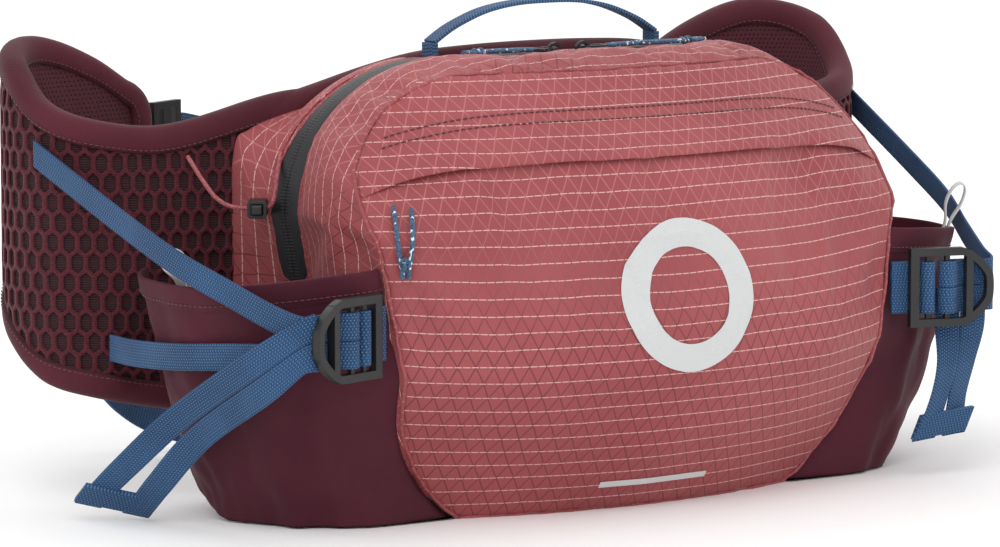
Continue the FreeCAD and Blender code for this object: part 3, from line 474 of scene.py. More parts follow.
def stitches(name, points, normals, material, pitch=2.9, long=2.0, radius=0.28, body=BAG):
    """A row of thread: short rounded rods that lie along a line on a surface."""
    def taper(share):
        return radius * (0.35 + 0.65 * math.sin(math.pi * min(1, max(0, share))))

    verts, faces = [], []
    spans = [0.0]
    for a, b in zip(points, points[1:]):
        spans.append(spans[-1] + (b - a).length)
    at = pitch / 2
    index = 0
    while at < spans[-1] - long / 2:
        while spans[index + 1] < at:
            index += 1
        share = (at - spans[index]) / max(1e-6, spans[index + 1] - spans[index])
        middle = points[index].lerp(points[index + 1], share)
        normal = normals[index].lerp(normals[index + 1], share).normalized()
        way = (points[index + 1] - points[index]).normalized()
        rod = [
            middle + way * (long * (s / 4 - 0.5)) + normal * (0.12 - 0.3 * (s / 2 - 1) ** 2)
            for s in range(5)
        ]
        v, f = tube_along(rod, taper, 5, normal)
        faces += [tuple(k + len(verts) for k in face) for face in f]
        verts += v
        at += pitch
    return piece(name, verts, faces, material, body)


def settle(thing, pins, pressure, cap, frames=18, swell=0.0, bend=0.4):
    """Lets the piece settle as cloth: pins are weights that hold vertices, cap is how far each may move."""
    start = np.array([v.co for v in thing.data.vertices])
    group = thing.vertex_groups.new(name="held")
    for index, weight in enumerate(pins):
        group.add([index], float(weight), "REPLACE")
    cloth = thing.modifiers.new("cloth", "CLOTH")
    cloth.settings.quality = 5
    cloth.settings.mass = 0.25
    cloth.settings.tension_stiffness = cloth.settings.compression_stiffness = 18
    cloth.settings.shear_stiffness = 6
    cloth.settings.bending_stiffness = bend
    cloth.settings.vertex_group_mass = "held"
    cloth.settings.pin_stiffness = 1
    cloth.settings.shrink_min = -swell
    cloth.settings.use_pressure = pressure != 0
    cloth.settings.uniform_pressure_force = pressure
    cloth.settings.effector_weights.gravity = 0
    cloth.collision_settings.use_collision = False
    cloth.point_cache.frame_start = 1
    cloth.point_cache.frame_end = frames
    for number in range(1, frames + 1):
        SCENE.frame_set(number)
    found = thing.evaluated_get(bpy.context.evaluated_depsgraph_get()).data
    end = np.array([v.co for v in found.vertices])
    thing.modifiers.remove(cloth)
    thing.vertex_groups.remove(group)
    SCENE.frame_set(1)
    move = end - start
    far = np.linalg.norm(move, axis=1)
    limit = np.asarray(cap) * MM
    move *= np.minimum(1, limit / np.maximum(far, 1e-9))[:, None]
    thing.data.vertices.foreach_set("co", (start + move).astype(np.float32).ravel())
    thing.data.update()


# ---- cords, on the same routes as the CAD model


def cord_line(name, route, diameter, material, body):
    """A cord whose line is a NURBS spline with the route, in metres, as its control points."""
    data = bpy.data.curves.new(name, "CURVE")
    data.dimensions = "3D"
    data.bevel_depth = diameter / 2
    data.bevel_resolution = 5
    data.use_fill_caps = True
    data.resolution_u = 16
    spline = data.splines.new("NURBS")
    spline.points.add(len(route) - 1)
    for point, place in zip(spline.points, route):
        point.co = (*place, 1)
    spline.order_u = 3
    spline.use_endpoint_u = True
    data.materials.append(material)
    thing = bpy.data.objects.new(name, data)
    SCENE.collection.objects.link(thing)
    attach(thing, body)
    return thing


def knot(name, centre, size, way, material, body):
    """An overhand knot of thin cord: a closed three-lobed tube."""
    way = way.normalized()
    side = way.cross(Vector((0, 0.3, 1))).normalized()
    other = way.cross(side)
    line = []
    for k in range(60):
        t = 2 * math.pi * k / 60
        a, b, c = math.sin(t) + 2 * math.sin(2 * t), math.cos(t) - 2 * math.cos(2 * t), -math.sin(3 * t)
        line.append(centre + side * (a * size / 3) + way * (b * size / 2.4) + other * (c * size / 2.2))
    verts, faces = tube_along(line, 0.95, 8, closed=True)
    return piece(name, verts, faces, material, body)


def zip_cords(material):
    """Two strands on each main pull ring."""
    reach = {"left": (0.026, 0.034, 0.043, 0.052, 0.060), "right": (0.027, 0.041, 0.055, 0.068, 0.079)}
    drift = {"left": (0, -0.0015, 0.0005, -0.0005, -0.002), "right": (0, 0.0015, -0.0008, 0.0006, 0.002)}
    y, z = -0.047, 0.2099
    for name, side in SIDES:
        strands = []
        for label, spread in (("front", -0.0015), ("back", 0.0015)):
            route = [(side * 0.0211, y + spread, z)]
            for at, sway in zip(reach[name], drift[name]):
                route.append((side * at, y + spread + sway, z + 0.05 * abs(sway) + 0.0003))
            strand = cord_line(f"pull_cord_{name}_{label}", route, 0.0022, material, f"ring_{name}")
            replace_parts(strand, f"pull_cord_{name}")
            strands.append((strand, route))
        end = Vector(strands[0][1][-2]).lerp(Vector(strands[1][1][-2]), 0.5) / MM
        tie = knot(f"pull_knot_{name}", end, 2.3, Vector((side, 0, 0)), material, f"ring_{name}")


def front_zip_cord(material):
    """Two strands from the front slider, out under the flap and down to one knot."""
    turn = math.radians(24.6)

    def at(radius, angle, z):
        return (-radius * math.sin(angle), 0.178 - radius * math.cos(angle), z)

    splay = (1, 1, 1, 0.95, 0.85, 0.65, 0.35, 0.3)
    height = (0.1556, 0.1502, 0.147, 0.141, 0.134, 0.127, 0.121, 0.117)
    proud = (-0.0033, -0.0031, 0.0023, 0.0026, 0.0024, 0.0025, 0.0023, 0.0024)
    for label, spread in (("outer", 0.0125), ("inner", -0.0125)):
        route = []
        for share, z, out in zip(splay, height, proud):
            surface = 0.322 - 0.72 * max(0, z - 0.1345)
            route.append(at(surface + out, turn + spread * share, z))
        strand = cord_line(f"front_pull_cord_{label}", route, 0.0022, material, "front_slider")
        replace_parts(strand, "front_pull_cord")
    centre = Vector(at(0.3248, turn, 0.1235)) / MM
    tie = knot("front_pull_knot", centre, 2.5, Vector((0, 0, 1)), material, "front_slider")


def bungee_cords(material):
    """The elastic cord of each pocket's mouth, from the wing through its lock to the bag."""
    right = [
        (0.1755, 0.009, 0.1635), (0.1745, 0.003, 0.1575), (0.173, -0.0035, 0.151),
        (0.1715, -0.0095, 0.1455), (0.1675, -0.015, 0.1418), (0.162, -0.01997, 0.141),
        (0.1524, -0.02637, 0.141), (0.1506, -0.0276, 0.145), (0.1486, -0.026, 0.1515),
        (0.1453, -0.0225, 0.1585), (0.1413, -0.0185, 0.1655),
    ]
    for name, side in SIDES:
        route = [(side * x, y, z) for x, y, z in right]
        line = cord_line(f"bungee_cord_{name}", route, 0.002, material, BAG)
        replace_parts(line, f"bungee_{name}")


# ---- the bag's shell


def arc_rows(start, end, radius, count):
    """Points on an arc that bulges to the right of the way from start to end, without the first."""
    start, end = Vector(start), Vector(end)
    half = (end - start) / 2
    out = Vector((half.y, -half.x)).normalized()
    hole_depth_and_shade = math.sqrt(radius**2 - half.length_squared)
    centre = start + half - out * hole_depth_and_shade
    reach = math.asin(half.length / radius)
    way = half.normalized()
    return [
        centre + out * (radius * math.cos(a)) + way * (radius * math.sin(a))
        for a in ((2 * k / count - 1) * reach for k in range(1, count + 1))
    ]


# the bag's outline from the front, right half: the foot's arc, the flank and the shoulder's arc
FLANK = [Vector((92, 0)), *arc_rows((92, 0), (132.5, 62), 90, 18)]
FLANK += [Vector((132.5, 62)).lerp(Vector((145.5, 138)), k / 18) for k in range(1, 19)]
FLANK += arc_rows((145.5, 138), (80, 207), 72, 24)
COLUMNS = 72

# the front's cylinder: its axis, its radius, and how it leans back above and tucks in below
FRONT_AXIS_Y, FRONT_ROUND = 178, 322
LEAN_FROM, LEAN, TUCK_TO, TUCK = 134.5, 0.72, 70, 0.5
LEAN_STRETCH, TUCK_STRETCH = 0.232, 0.118

# plan arcs as (where they cross the centre plane, radius)
SEAM_PLAN, BACK_PLAN = (-144, 322), (-32.2, 379.2)
ZIP_FRONT_PLAN, ZIP_PLAN, ZIP_BACK_PLAN = (-54, 522), (-47, 515), (-40, 508)
PAD_PLAN = (-32, 379.2)


def half_width(z):
    for a, b in zip(FLANK, FLANK[1:]):
        if a.y <= z <= b.y:
            return a.x + (b.x - a.x) * (z - a.y) / max(1e-6, b.y - a.y)
    return FLANK[-1].x


def arc_y(x, front, radius):
    """Where a plan arc that crosses the centre plane at front is, at x."""
    return front + radius - math.sqrt(radius**2 - x * x)


def front_radius(z):
    """The front is part of a cylinder, which leans back near its top and tucks in near its foot."""
    return FRONT_ROUND - LEAN * max(0.0, z - LEAN_FROM) - TUCK * max(0.0, TUCK_TO - z)


def front_y(x, z):
    return FRONT_AXIS_Y - math.sqrt(front_radius(z) ** 2 - x * x)


def rise_along(z):
    """Height measured along the front's cloth."""
    return z + LEAN_STRETCH * max(0.0, z - LEAN_FROM) - TUCK_STRETCH * max(0.0, TUCK_TO - z)


def along_front(x):
    """Distance along the front's cloth from the centre plane."""
    return FRONT_ROUND * math.asin(x / FRONT_ROUND)


def ripple(point, scale, size, seed=0.0):
    x, y, z = (c / scale for c in point[:3])
    return noise.noise(Vector((x + seed, y - seed, z + 2 * seed))) * size


def bag_shell(cloth, turned_cloth):
    """One closed skin: the front, the band round it back to the lumbar side, and the back."""
    points, faces, uvs, pins, caps, kinds = [], [], [], [], [], []
    rows = len(FLANK)
    for i, edge in enumerate(FLANK):
        for j in range(COLUMNS + 1):
            t = 2 * j / COLUMNS - 1
            wide = edge.x + 3.5 * math.exp(-(((edge.y - 162) / 22) ** 2))
            z = edge.y - 3.0 * min(1.0, max(0.0, (edge.y - 190) / 17))
            x = wide * t
            rim = max(0.0, (1 - t * t) * math.sin(math.pi * min(1, max(0, z / 207))))
            points.append((x, front_y(x, z) - 2.0 * rim ** 0.5, z))
            border = i in (0, rows - 1) or j in (0, COLUMNS)
            pins.append(1.0 if border else 0.0)
            caps.append(0.0 if border else min(5.0, 0.25 + 9.0 * rim))
    for i in range(rows - 1):
        for j in range(COLUMNS):
            a, b = i * (COLUMNS + 1) + j, (i + 1) * (COLUMNS + 1) + j
            face = (a, a + 1, b + 1, b)
            faces.append(face)
            uvs.append([(along_front(points[k][0]), rise_along(points[k][2])) for k in face])
            kinds.append(0)
    last = rows - 1
    loop = list(range(COLUMNS + 1))
    loop += [i * (COLUMNS + 1) + COLUMNS for i in range(1, rows)]
    loop += [last * (COLUMNS + 1) + j for j in range(COLUMNS - 1, -1, -1)]
    loop += [i * (COLUMNS + 1) for i in range(last - 1, 0, -1)]
    count = len(loop)
    start = [points[k] for k in loop]
    along = [0.0]
    for a, b in zip(start, start[1:] + start[:1]):
        along.append(along[-1] + math.hypot(b[0] - a[0], b[2] - a[2]))
    normals = []
    for k in range(count):
        a, b = start[k - 1], start[(k + 1) % count]
        normals.append(Vector((b[2] - a[2], 0, -(b[0] - a[0]))).normalized())
    arcs = [SEAM_PLAN, ZIP_FRONT_PLAN, ZIP_PLAN, ZIP_BACK_PLAN, BACK_PLAN]
    depths = [(0, 1, k / 16) for k in range(1, 17)]
    depths += [(1, 2, 1), (2, 3, 1), (3, 4, 0.34), (3, 4, 0.67), (3, 4, 1)]
    rings = [loop]
    for low, high, share in depths:
        ring = []
        for k in range(count):
            i, j = divmod(loop[k], COLUMNS + 1)
            blend = min(1.0, 1.4 * share) if low == 0 else 1.0
            x = start[k][0] * (1 - blend) + FLANK[i].x * (2 * j / COLUMNS - 1) * blend
            z = start[k][2] * (1 - blend) + FLANK[i].y * blend
            ahead = start[k][1] if low == 0 else arc_y(x, *arcs[low])
            y = ahead * (1 - share) + arc_y(x, *arcs[high]) * share
            swell = 3.2 * math.sin(math.pi * share) if high == 1 else 0.0
            down = 0.25 if z < 12 else 1.0
            turned = math.exp(-(((FLANK[i].y - 122) / 55) ** 4)) * normals[k].x ** 2
            flare = {1: -5.5 * share**2, 2: -2.0, 3: 1.8, 4: 1.8 + 1.6 * share}[high] * turned
            bump = normals[k] * (swell * down + flare)
            ring.append(len(points))
            points.append((x + bump.x, y, z + bump.z))
            held = share == 1
            pins.append(1.0 if held else 0.0)
            caps.append(0.0 if held else (4.5 if high == 1 else 1.0) * (0.2 if z < 12 else 1.0))
        rings.append(ring)
    for r in range(len(rings) - 1):
        for k in range(count):
            m = (k + 1) % count
            face = (rings[r][k], rings[r + 1][k], rings[r + 1][m], rings[r][m])
            faces.append(face)
            hole_depth_and_shade = [points[v][1] - 0.15 * points[loop[q]][1] for v, q in zip(face, (k, k, m, m))]
            uvs.append([(along[q], d) for q, d in zip((k, k, k + 1, k + 1), hole_depth_and_shade)])
            kinds.append(1)
    back = rings[-1]
    inner = {}
    for i in range(rows):
        for j in range(COLUMNS + 1):
            t = 2 * j / COLUMNS - 1
            if 0 < i < last and 0 < j < COLUMNS:
                inner[i, j] = len(points)
                x = FLANK[i].x * t
                points.append((x, arc_y(x, *BACK_PLAN), FLANK[i].y))
                pins.append(1.0)
                caps.append(0.0)
    for place, v in zip(loop, back):
        inner[divmod(place, COLUMNS + 1)] = v
    for i in range(last):
        for j in range(COLUMNS):
            face = (inner[i, j], inner[i + 1, j], inner[i + 1, j + 1], inner[i, j + 1])
            faces.append(face)
            uvs.append([(points[k][0], points[k][2]) for k in face])
            kinds.append(1)
    shell = piece("bag_shell", points, faces, cloth, BAG, uvs)
    shell.data.materials.append(turned_cloth)
    shell.data.polygons.foreach_set("material_index", kinds)
    settle(shell, pins, 1.6, caps, swell=0.035, bend=0.25)
    fixed = []
    for k, v in enumerate(shell.data.vertices):
        p = v.co / MM
        edge = pins[k] > 0.5
        p.y += ripple(p, 9, 0.9, 3.1) if edge and abs(p.x) < 148 and p.y < -100 else 0.0
        p.y += 0.35 * ripple(p, 17, 2.2, 8.3) + 0.5 * ripple(p, 42, 3.0, 1.7) if not edge else 0.0
        p.z = max(p.z, 0.2)
        fixed.append(p)
        v.co = p * MM
    shell.data.update()
    refine(shell)
    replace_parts(shell, "front_panel", "gusset_front", "gusset_rear", "base_panel", "back_panel",
                "front_zip_tape", "pocket_divider", "frame_sheet")
    tree = BVHTree.FromPolygons(fixed, faces)
    return tree, fixed, rings, loop, count


def on_front(tree, x, z):
    hit, normal, _, _ = tree.ray_cast(Vector((x, -400, z)), Vector((0, 1, 0)))
    if hit is None:
        return Vector((x, front_y(x, z), z)), Vector((0, -1, 0))
    return hit, normal if normal.y < 0 else -normal


def flap_edge(t):
    return 151.5 + 13 * (1 - abs(t) ** 5)


def front_flap(tree, cloth, thread):
    """The flap over the front zip: sewn in along the top seam, and loose at its lower edge."""
    rows, across = 26, 80
    points, uvs = [], []
    for i in range(rows + 1):
        r = i / rows
        for j in range(across + 1):
            t = 2 * j / across - 1
            z = flap_edge(t) + (203.0 - flap_edge(t)) * r
            x = (half_width(z) + 3.0 * math.exp(-(((z - 162) / 22) ** 2)) - 0.6) * t
            hit, normal = on_front(tree, x, z)
            rim = min(1, 7 * (1 - abs(t)))
            lift = 0.6 + rim * (2.6 * (1 - r) ** 3 + 0.5 + ripple((x, 0, z), 26, 1.2, 5.0) * (1 - r))
            if i == 0:
                lift *= 0.8
            points.append(tuple(hit + normal * lift))
            uvs.append((along_front(x), rise_along(z)))
    faces = grid_faces(rows + 1, across + 1)
    flap = piece("front_flap_cloth", points, faces, cloth, BAG, uvs)
    thicken(flap, 1.0, -1.0)
    refine(flap)
    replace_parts(flap, "front_flap")
    surface = BVHTree.FromPolygons([Vector(p) for p in points], faces)
    for label, above in (("lower", 18.5), ("upper", 23.0)):
        line, normals = [], []
        for j in range(2, 119):
            t = (2 * j / 120 - 1) * 0.985
            z = flap_edge(t) + above
            hit, normal = on_front(surface, (half_width(z) + 2) * t, z)
            line.append(hit + normal * 0.3)
            normals.append(normal)
        stitches(f"flap_stitches_{label}", line, normals, thread, 3.2, 2.5, 0.46)
    return surface


def seam_welt(name, points, radius, material, seed=0.0, uv_start=0.0):
    """A sewn ridge along a seam, with small puckers."""
    line = []
    for p in points:
        pucker = (ripple(p, 6, 0.8, seed), ripple(p, 7, 1.1, seed + 4), ripple(p, 6, 0.8, seed + 9))
        line.append(Vector(p) + Vector(pucker))
    def uneven(share):
        return radius * (0.85 + 0.4 * noise.noise(Vector((share * 60, seed, 0))))

    verts, faces = tube_along(line, uneven, 8)
    uvs = []
    for i in range(len(line)):
        uvs += [(uv_start + i * 4.0, 3.0 + k * 0.3) for k in range(8)]
    return piece(name, verts, faces, material, BAG, uvs)


def main_zip(points, rings, loop, count, material, coral):
    """The coated tape from one side over the top to the other, with rounded ends and piped lips."""
    front, middle, back = rings[16], rings[17], rings[18]
    picked = [k for k in range(count) if points[middle[k]].z > 104 and loop[k] % (COLUMNS + 1) in (0, COLUMNS)
              or loop[k] // (COLUMNS + 1) == len(FLANK) - 1]
    first = picked.index(next(k for k in picked if points[middle[k]].x > 0 and points[middle[k]].z < 109))
    picked = picked[first:] + picked[:first]
    verts, uvs, total = [], [], 0.0
    before = None
    sides = 6
    for n, k in enumerate(picked):
        mid = points[middle[k]]
        if before is not None:
            total += (mid - before).length
        before = mid
        close = min(n, len(picked) - 1 - n) * 4.2
        wide = math.sqrt(max(0.0, 1 - (1 - min(1, (close + 0.4) / 8)) ** 2))
        out = Vector((mid.x, 0, mid.z - 100)).normalized()
        for s in range(sides + 1):
            share = s / sides * 2 - 1
            side = points[front[k]] if share < 0 else points[back[k]]
            verts.append(mid.lerp(side, abs(share) * wide * 0.97) + out * (0.9 - 0.5 * share * share))
            uvs.append((share * 7 * wide, total))
    tape = piece("main_zip_cover", verts, grid_faces(len(picked), sides + 1), material, BAG, uvs)
    thicken(tape, 0.8, 0.0)
    refine(tape)
    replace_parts(tape, "main_zip_tape", "main_zip_coil")
    for label, s in (("front", 0), ("back", sides)):
        line = [verts[n * (sides + 1) + s] for n in range(len(picked))]
        seam_welt(f"zip_lip_{label}", line, 0.65, coral, 2.0 + s)


def badge(tree, material):
    """A plain ring printed on the front panel, and a short strip near its foot."""
    def printed(name, outline_rows, node, closed):
        verts = []
        for row in outline_rows:
            for x, z in row:
                hit, normal = on_front(tree, x, z)
                verts.append(hit + normal * 0.4)
        faces = grid_faces(len(outline_rows), len(outline_rows[0]), closed=closed)
        thing = piece(name, verts, faces, material, BAG, smooth=False)
        thicken(thing, 0.25, 0.0)
        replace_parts(thing, node)

    turns = [2 * math.pi * k / 120 for k in range(120)]
    ring = [[(r * math.sin(a), 103 + r * math.cos(a)) for a in turns] for r in (22.1, 25.5, 29, 32, 34.9)]
    printed("front_badge", ring, "badge", True)
    strip = [[(x, z) for x in np.linspace(-30, 30, 41)] for z in (12.1, 13.6, 14.9)]
    printed("front_reflective_strip", strip, "reflective_strip", False)


# ---- side pockets


POCKET_TOP = ((146, -108.5), (196, 13), 46)
POCKET_FOOT = ((124, -100), (187, -4), 24)


def on_arc(arc, share):
    """A point on a plan arc that bulges out to the right, at a share of its turn."""
    start, end, rise = Vector(arc[0]), Vector(arc[1]), arc[2]
    half = (end - start).length / 2
    radius = (half * half + rise * rise) / (2 * rise)
    way = (end - start).normalized()
    out = Vector((way.y, -way.x))
    centre = (start + end) / 2 - out * (radius - rise)
    reach = math.asin(min(1.0, half / radius))
    if rise > radius:
        reach = math.pi - reach
    angle = (2 * share - 1) * reach
    return centre + out * (radius * math.cos(angle)) + way * (radius * math.sin(angle))


def pocket_edges(share):
    foot, mouth = on_arc(POCKET_FOOT, share), on_arc(POCKET_TOP, share)
    low = 0.6 if share < 0.66 else 0.6 + 30 * ((share - 0.66) / 0.34) ** 1.6
    return Vector((*foot, low)), Vector((*mouth, 121 - 9 * min(1.0, share * 2)))


def side_pocket(name, side, knit, thread, lining):
    """A slack stretch pocket with a turned hem at its mouth."""
    around, up = 64, 40
    rows = []
    for i in range(up + 1):
        v = i / up
        row = []
        for j in range(around + 1):
            s = j / around
            foot, mouth = pocket_edges(s)
            p = foot.lerp(mouth, v)
            _, near = pocket_edges(min(1, s + 0.02))
            _, far = pocket_edges(max(0, s - 0.02))
            out = Vector((near.y - far.y, far.x - near.x, 0))
            out.normalize()
            edge = min(1, 5 * s) * min(1, 4 * (1 - s)) * min(1.0, 3 * (1 - v) + 0.15)
            belly = 5.0 * math.sin(math.pi * min(1, v * 1.15)) * math.sin(math.pi * s) ** 0.7
            fold = 3.4 * noise.noise(Vector((s * 9 + side, v * 1.6, side * 2.0)))
            fold += 2.0 * noise.noise(Vector((s * 5 + v * 7, v * 5 - s * 6, 4 + side)))
            fold += 1.0 * noise.noise(Vector((s * 24, v * 5, 9 + side)))
            p = p + out * ((belly + fold) * edge)
            p.z = max(p.z, 0.5)
            near_bag = max(0.0, 1 - 7 * s)
            seam = Vector((half_width(p.z) + 1.2, front_y(half_width(p.z), p.z) + 3.0, p.z))
            p = p.lerp(seam, near_bag ** 1.5)
            row.append(Vector((side * p.x, p.y, p.z)))
        rows.append(row)
    points = [p for row in rows for p in row]
    uvs = [(j * 3.2, i * 3.0) for i in range(up + 1) for j in range(around + 1)]
    faces = grid_faces(up + 1, around + 1)
    if side < 0:
        faces = [f[::-1] for f in faces]
    wall = piece(f"pocket_cloth_{name}", points, faces, knit, BAG, uvs)
    thicken(wall, 1.2, -1.0)
    refine(wall)
    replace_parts(wall, f"side_pocket_{name}")

    hem_rows = 5
    hem, normals_line, stitch_line = [], [], []
    for i in range(hem_rows):
        share = i / (hem_rows - 1)
        for j in range(around + 1):
            top, low = rows[up][j], rows[up - 4][j]
            a, b = rows[up][max(0, j - 1)], rows[up][min(around, j + 1)]
            way = (b - a).normalized()
            out = way.cross(Vector((0, 0, 1))).normalized() * side
            lift = 0.5 + 0.5 * math.sin(math.pi * share)
            hem.append(low.lerp(top, share) + out * lift + Vector((0, 0, 0.6 * share)))
            if i == 1:
                stitch_line.append(hem[-1] + out * 0.2)
                normals_line.append(out)
    hem_uvs = [(j * 3.2, i * 3.0) for i in range(hem_rows) for j in range(around + 1)]
    faces = grid_faces(hem_rows, around + 1)
    if side < 0:
        faces = [f[::-1] for f in faces]
    band = piece(f"pocket_band_{name}", hem, faces, knit, BAG, hem_uvs)
    thicken(band, 2.2, -1.0, bevel=0.7)
    refine(band)
    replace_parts(band, f"pocket_hem_{name}")
    stitches(f"pocket_stitches_{name}", stitch_line, normals_line, thread)

    floor = []
    for j in range(around + 1):
        foot = rows[0][j]
        inside = side * min(abs(foot.x), 95 + 0.9 * foot.z)
        for s in range(6):
            share = s / 5
            floor.append(Vector((foot.x + (inside - foot.x) * share, foot.y, foot.z + 0.3)))
    piece(f"pocket_floor_{name}", floor, grid_faces(around + 1, 6), lining, BAG,
          [(p.x, p.y) for p in floor])


def finger_loop(name, side, material):
    """A folded reflective tape sewn inside the pocket's hem."""
    if side > 0:
        share, inward = 0.42, 4
        loop = [(-1.2, -9), (-1.2, 3), (-3.5, 12), (-2.5, 19), (0.8, 22), (4, 19), (4, 12), (1.2, 3),
                (1.2, -9)]
    else:
        share, inward = 0.62, 9.5
        loop = [(-1.2, -9), (-1.2, 1), (-4, 8), (-3, 14), (1, 16.5), (5, 13.5), (5.5, 7.5), (1.2, 1),
                (1.2, -9)]
    foot, mouth = pocket_edges(share)
    rise = (mouth - foot) / (mouth.z - foot.z)
    hem = (pocket_edges(share + 0.02)[1] - pocket_edges(share - 0.02)[1]).normalized()
    out = Vector((hem.y, -hem.x, 0))
    stations = []
    for across, up in loop:
        at = mouth + out * (across - inward) + rise * up
        stations.append(((side * at.x, at.y, at.z), (side * 8 * hem.x, 8 * hem.y, 0)))
    tape = ribbon(f"finger_loop_tape_{name}", stations, 0.9, material, BAG, step=1.0, columns=5)
    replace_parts(tape, f"finger_loop_{name}")


# ---- belt wings


WING_START, WING_TURN_START = Vector((138, 6, 0)), Vector((205, 26.5, 0))
WING_ROUND, WING_TURN, WING_LONG = 39, math.radians(155), 235
WING_EDGES = [
    (0, 42, 188), (47, 46, 176), (83, 53, 180), (104, 59, 188),
    (128, 76, 206), (165, 101, 213), (200, 124, 202), (235, 147, 180),
]


def eased(distance, column):
    """A wing edge's height, smooth through the listed ones."""
    rows = WING_EDGES
    n = max(0, min(len(rows) - 2, sum(1 for r in rows if r[0] <= distance) - 1))
    a, b, c, d = rows[max(0, n - 1)], rows[n], rows[n + 1], rows[min(len(rows) - 1, n + 2)]
    t = (distance - b[0]) / (c[0] - b[0])
    one = (c[column] - a[column]) / max(1, c[0] - a[0]) * (c[0] - b[0])
    two = (d[column] - b[column]) / max(1, d[0] - b[0]) * (c[0] - b[0])
    h = t * t * (3 - 2 * t)
    return b[column] + (c[column] - b[column]) * h + one * t * (1 - t) ** 2 - two * t * t * (1 - t)


def wing_frame(distance):
    """The right wing's middle line at a distance along it: point, way and outward normal, in plan."""
    way = (WING_TURN_START - WING_START)
    straight = way.length
    way.normalize()
    left = Vector((-way.y, way.x, 0))
    if distance <= straight:
        return WING_START + way * distance, way, -left
    turned = min((distance - straight) / WING_ROUND, WING_TURN)
    centre = WING_TURN_START + left * WING_ROUND
    at = centre - left * (WING_ROUND * math.cos(turned)) + way * (WING_ROUND * math.sin(turned))
    onward = way * math.cos(turned) + left * math.sin(turned)
    rest = distance - straight - WING_ROUND * WING_TURN
    if rest > 0:
        at += onward * rest
    return at, onward, Vector((onward.y, -onward.x, 0))


def wing_point(side, distance, z, out):
    at, _, normal = wing_frame(distance)
    p = at + normal * out
    return Vector((side * p.x, p.y, z))


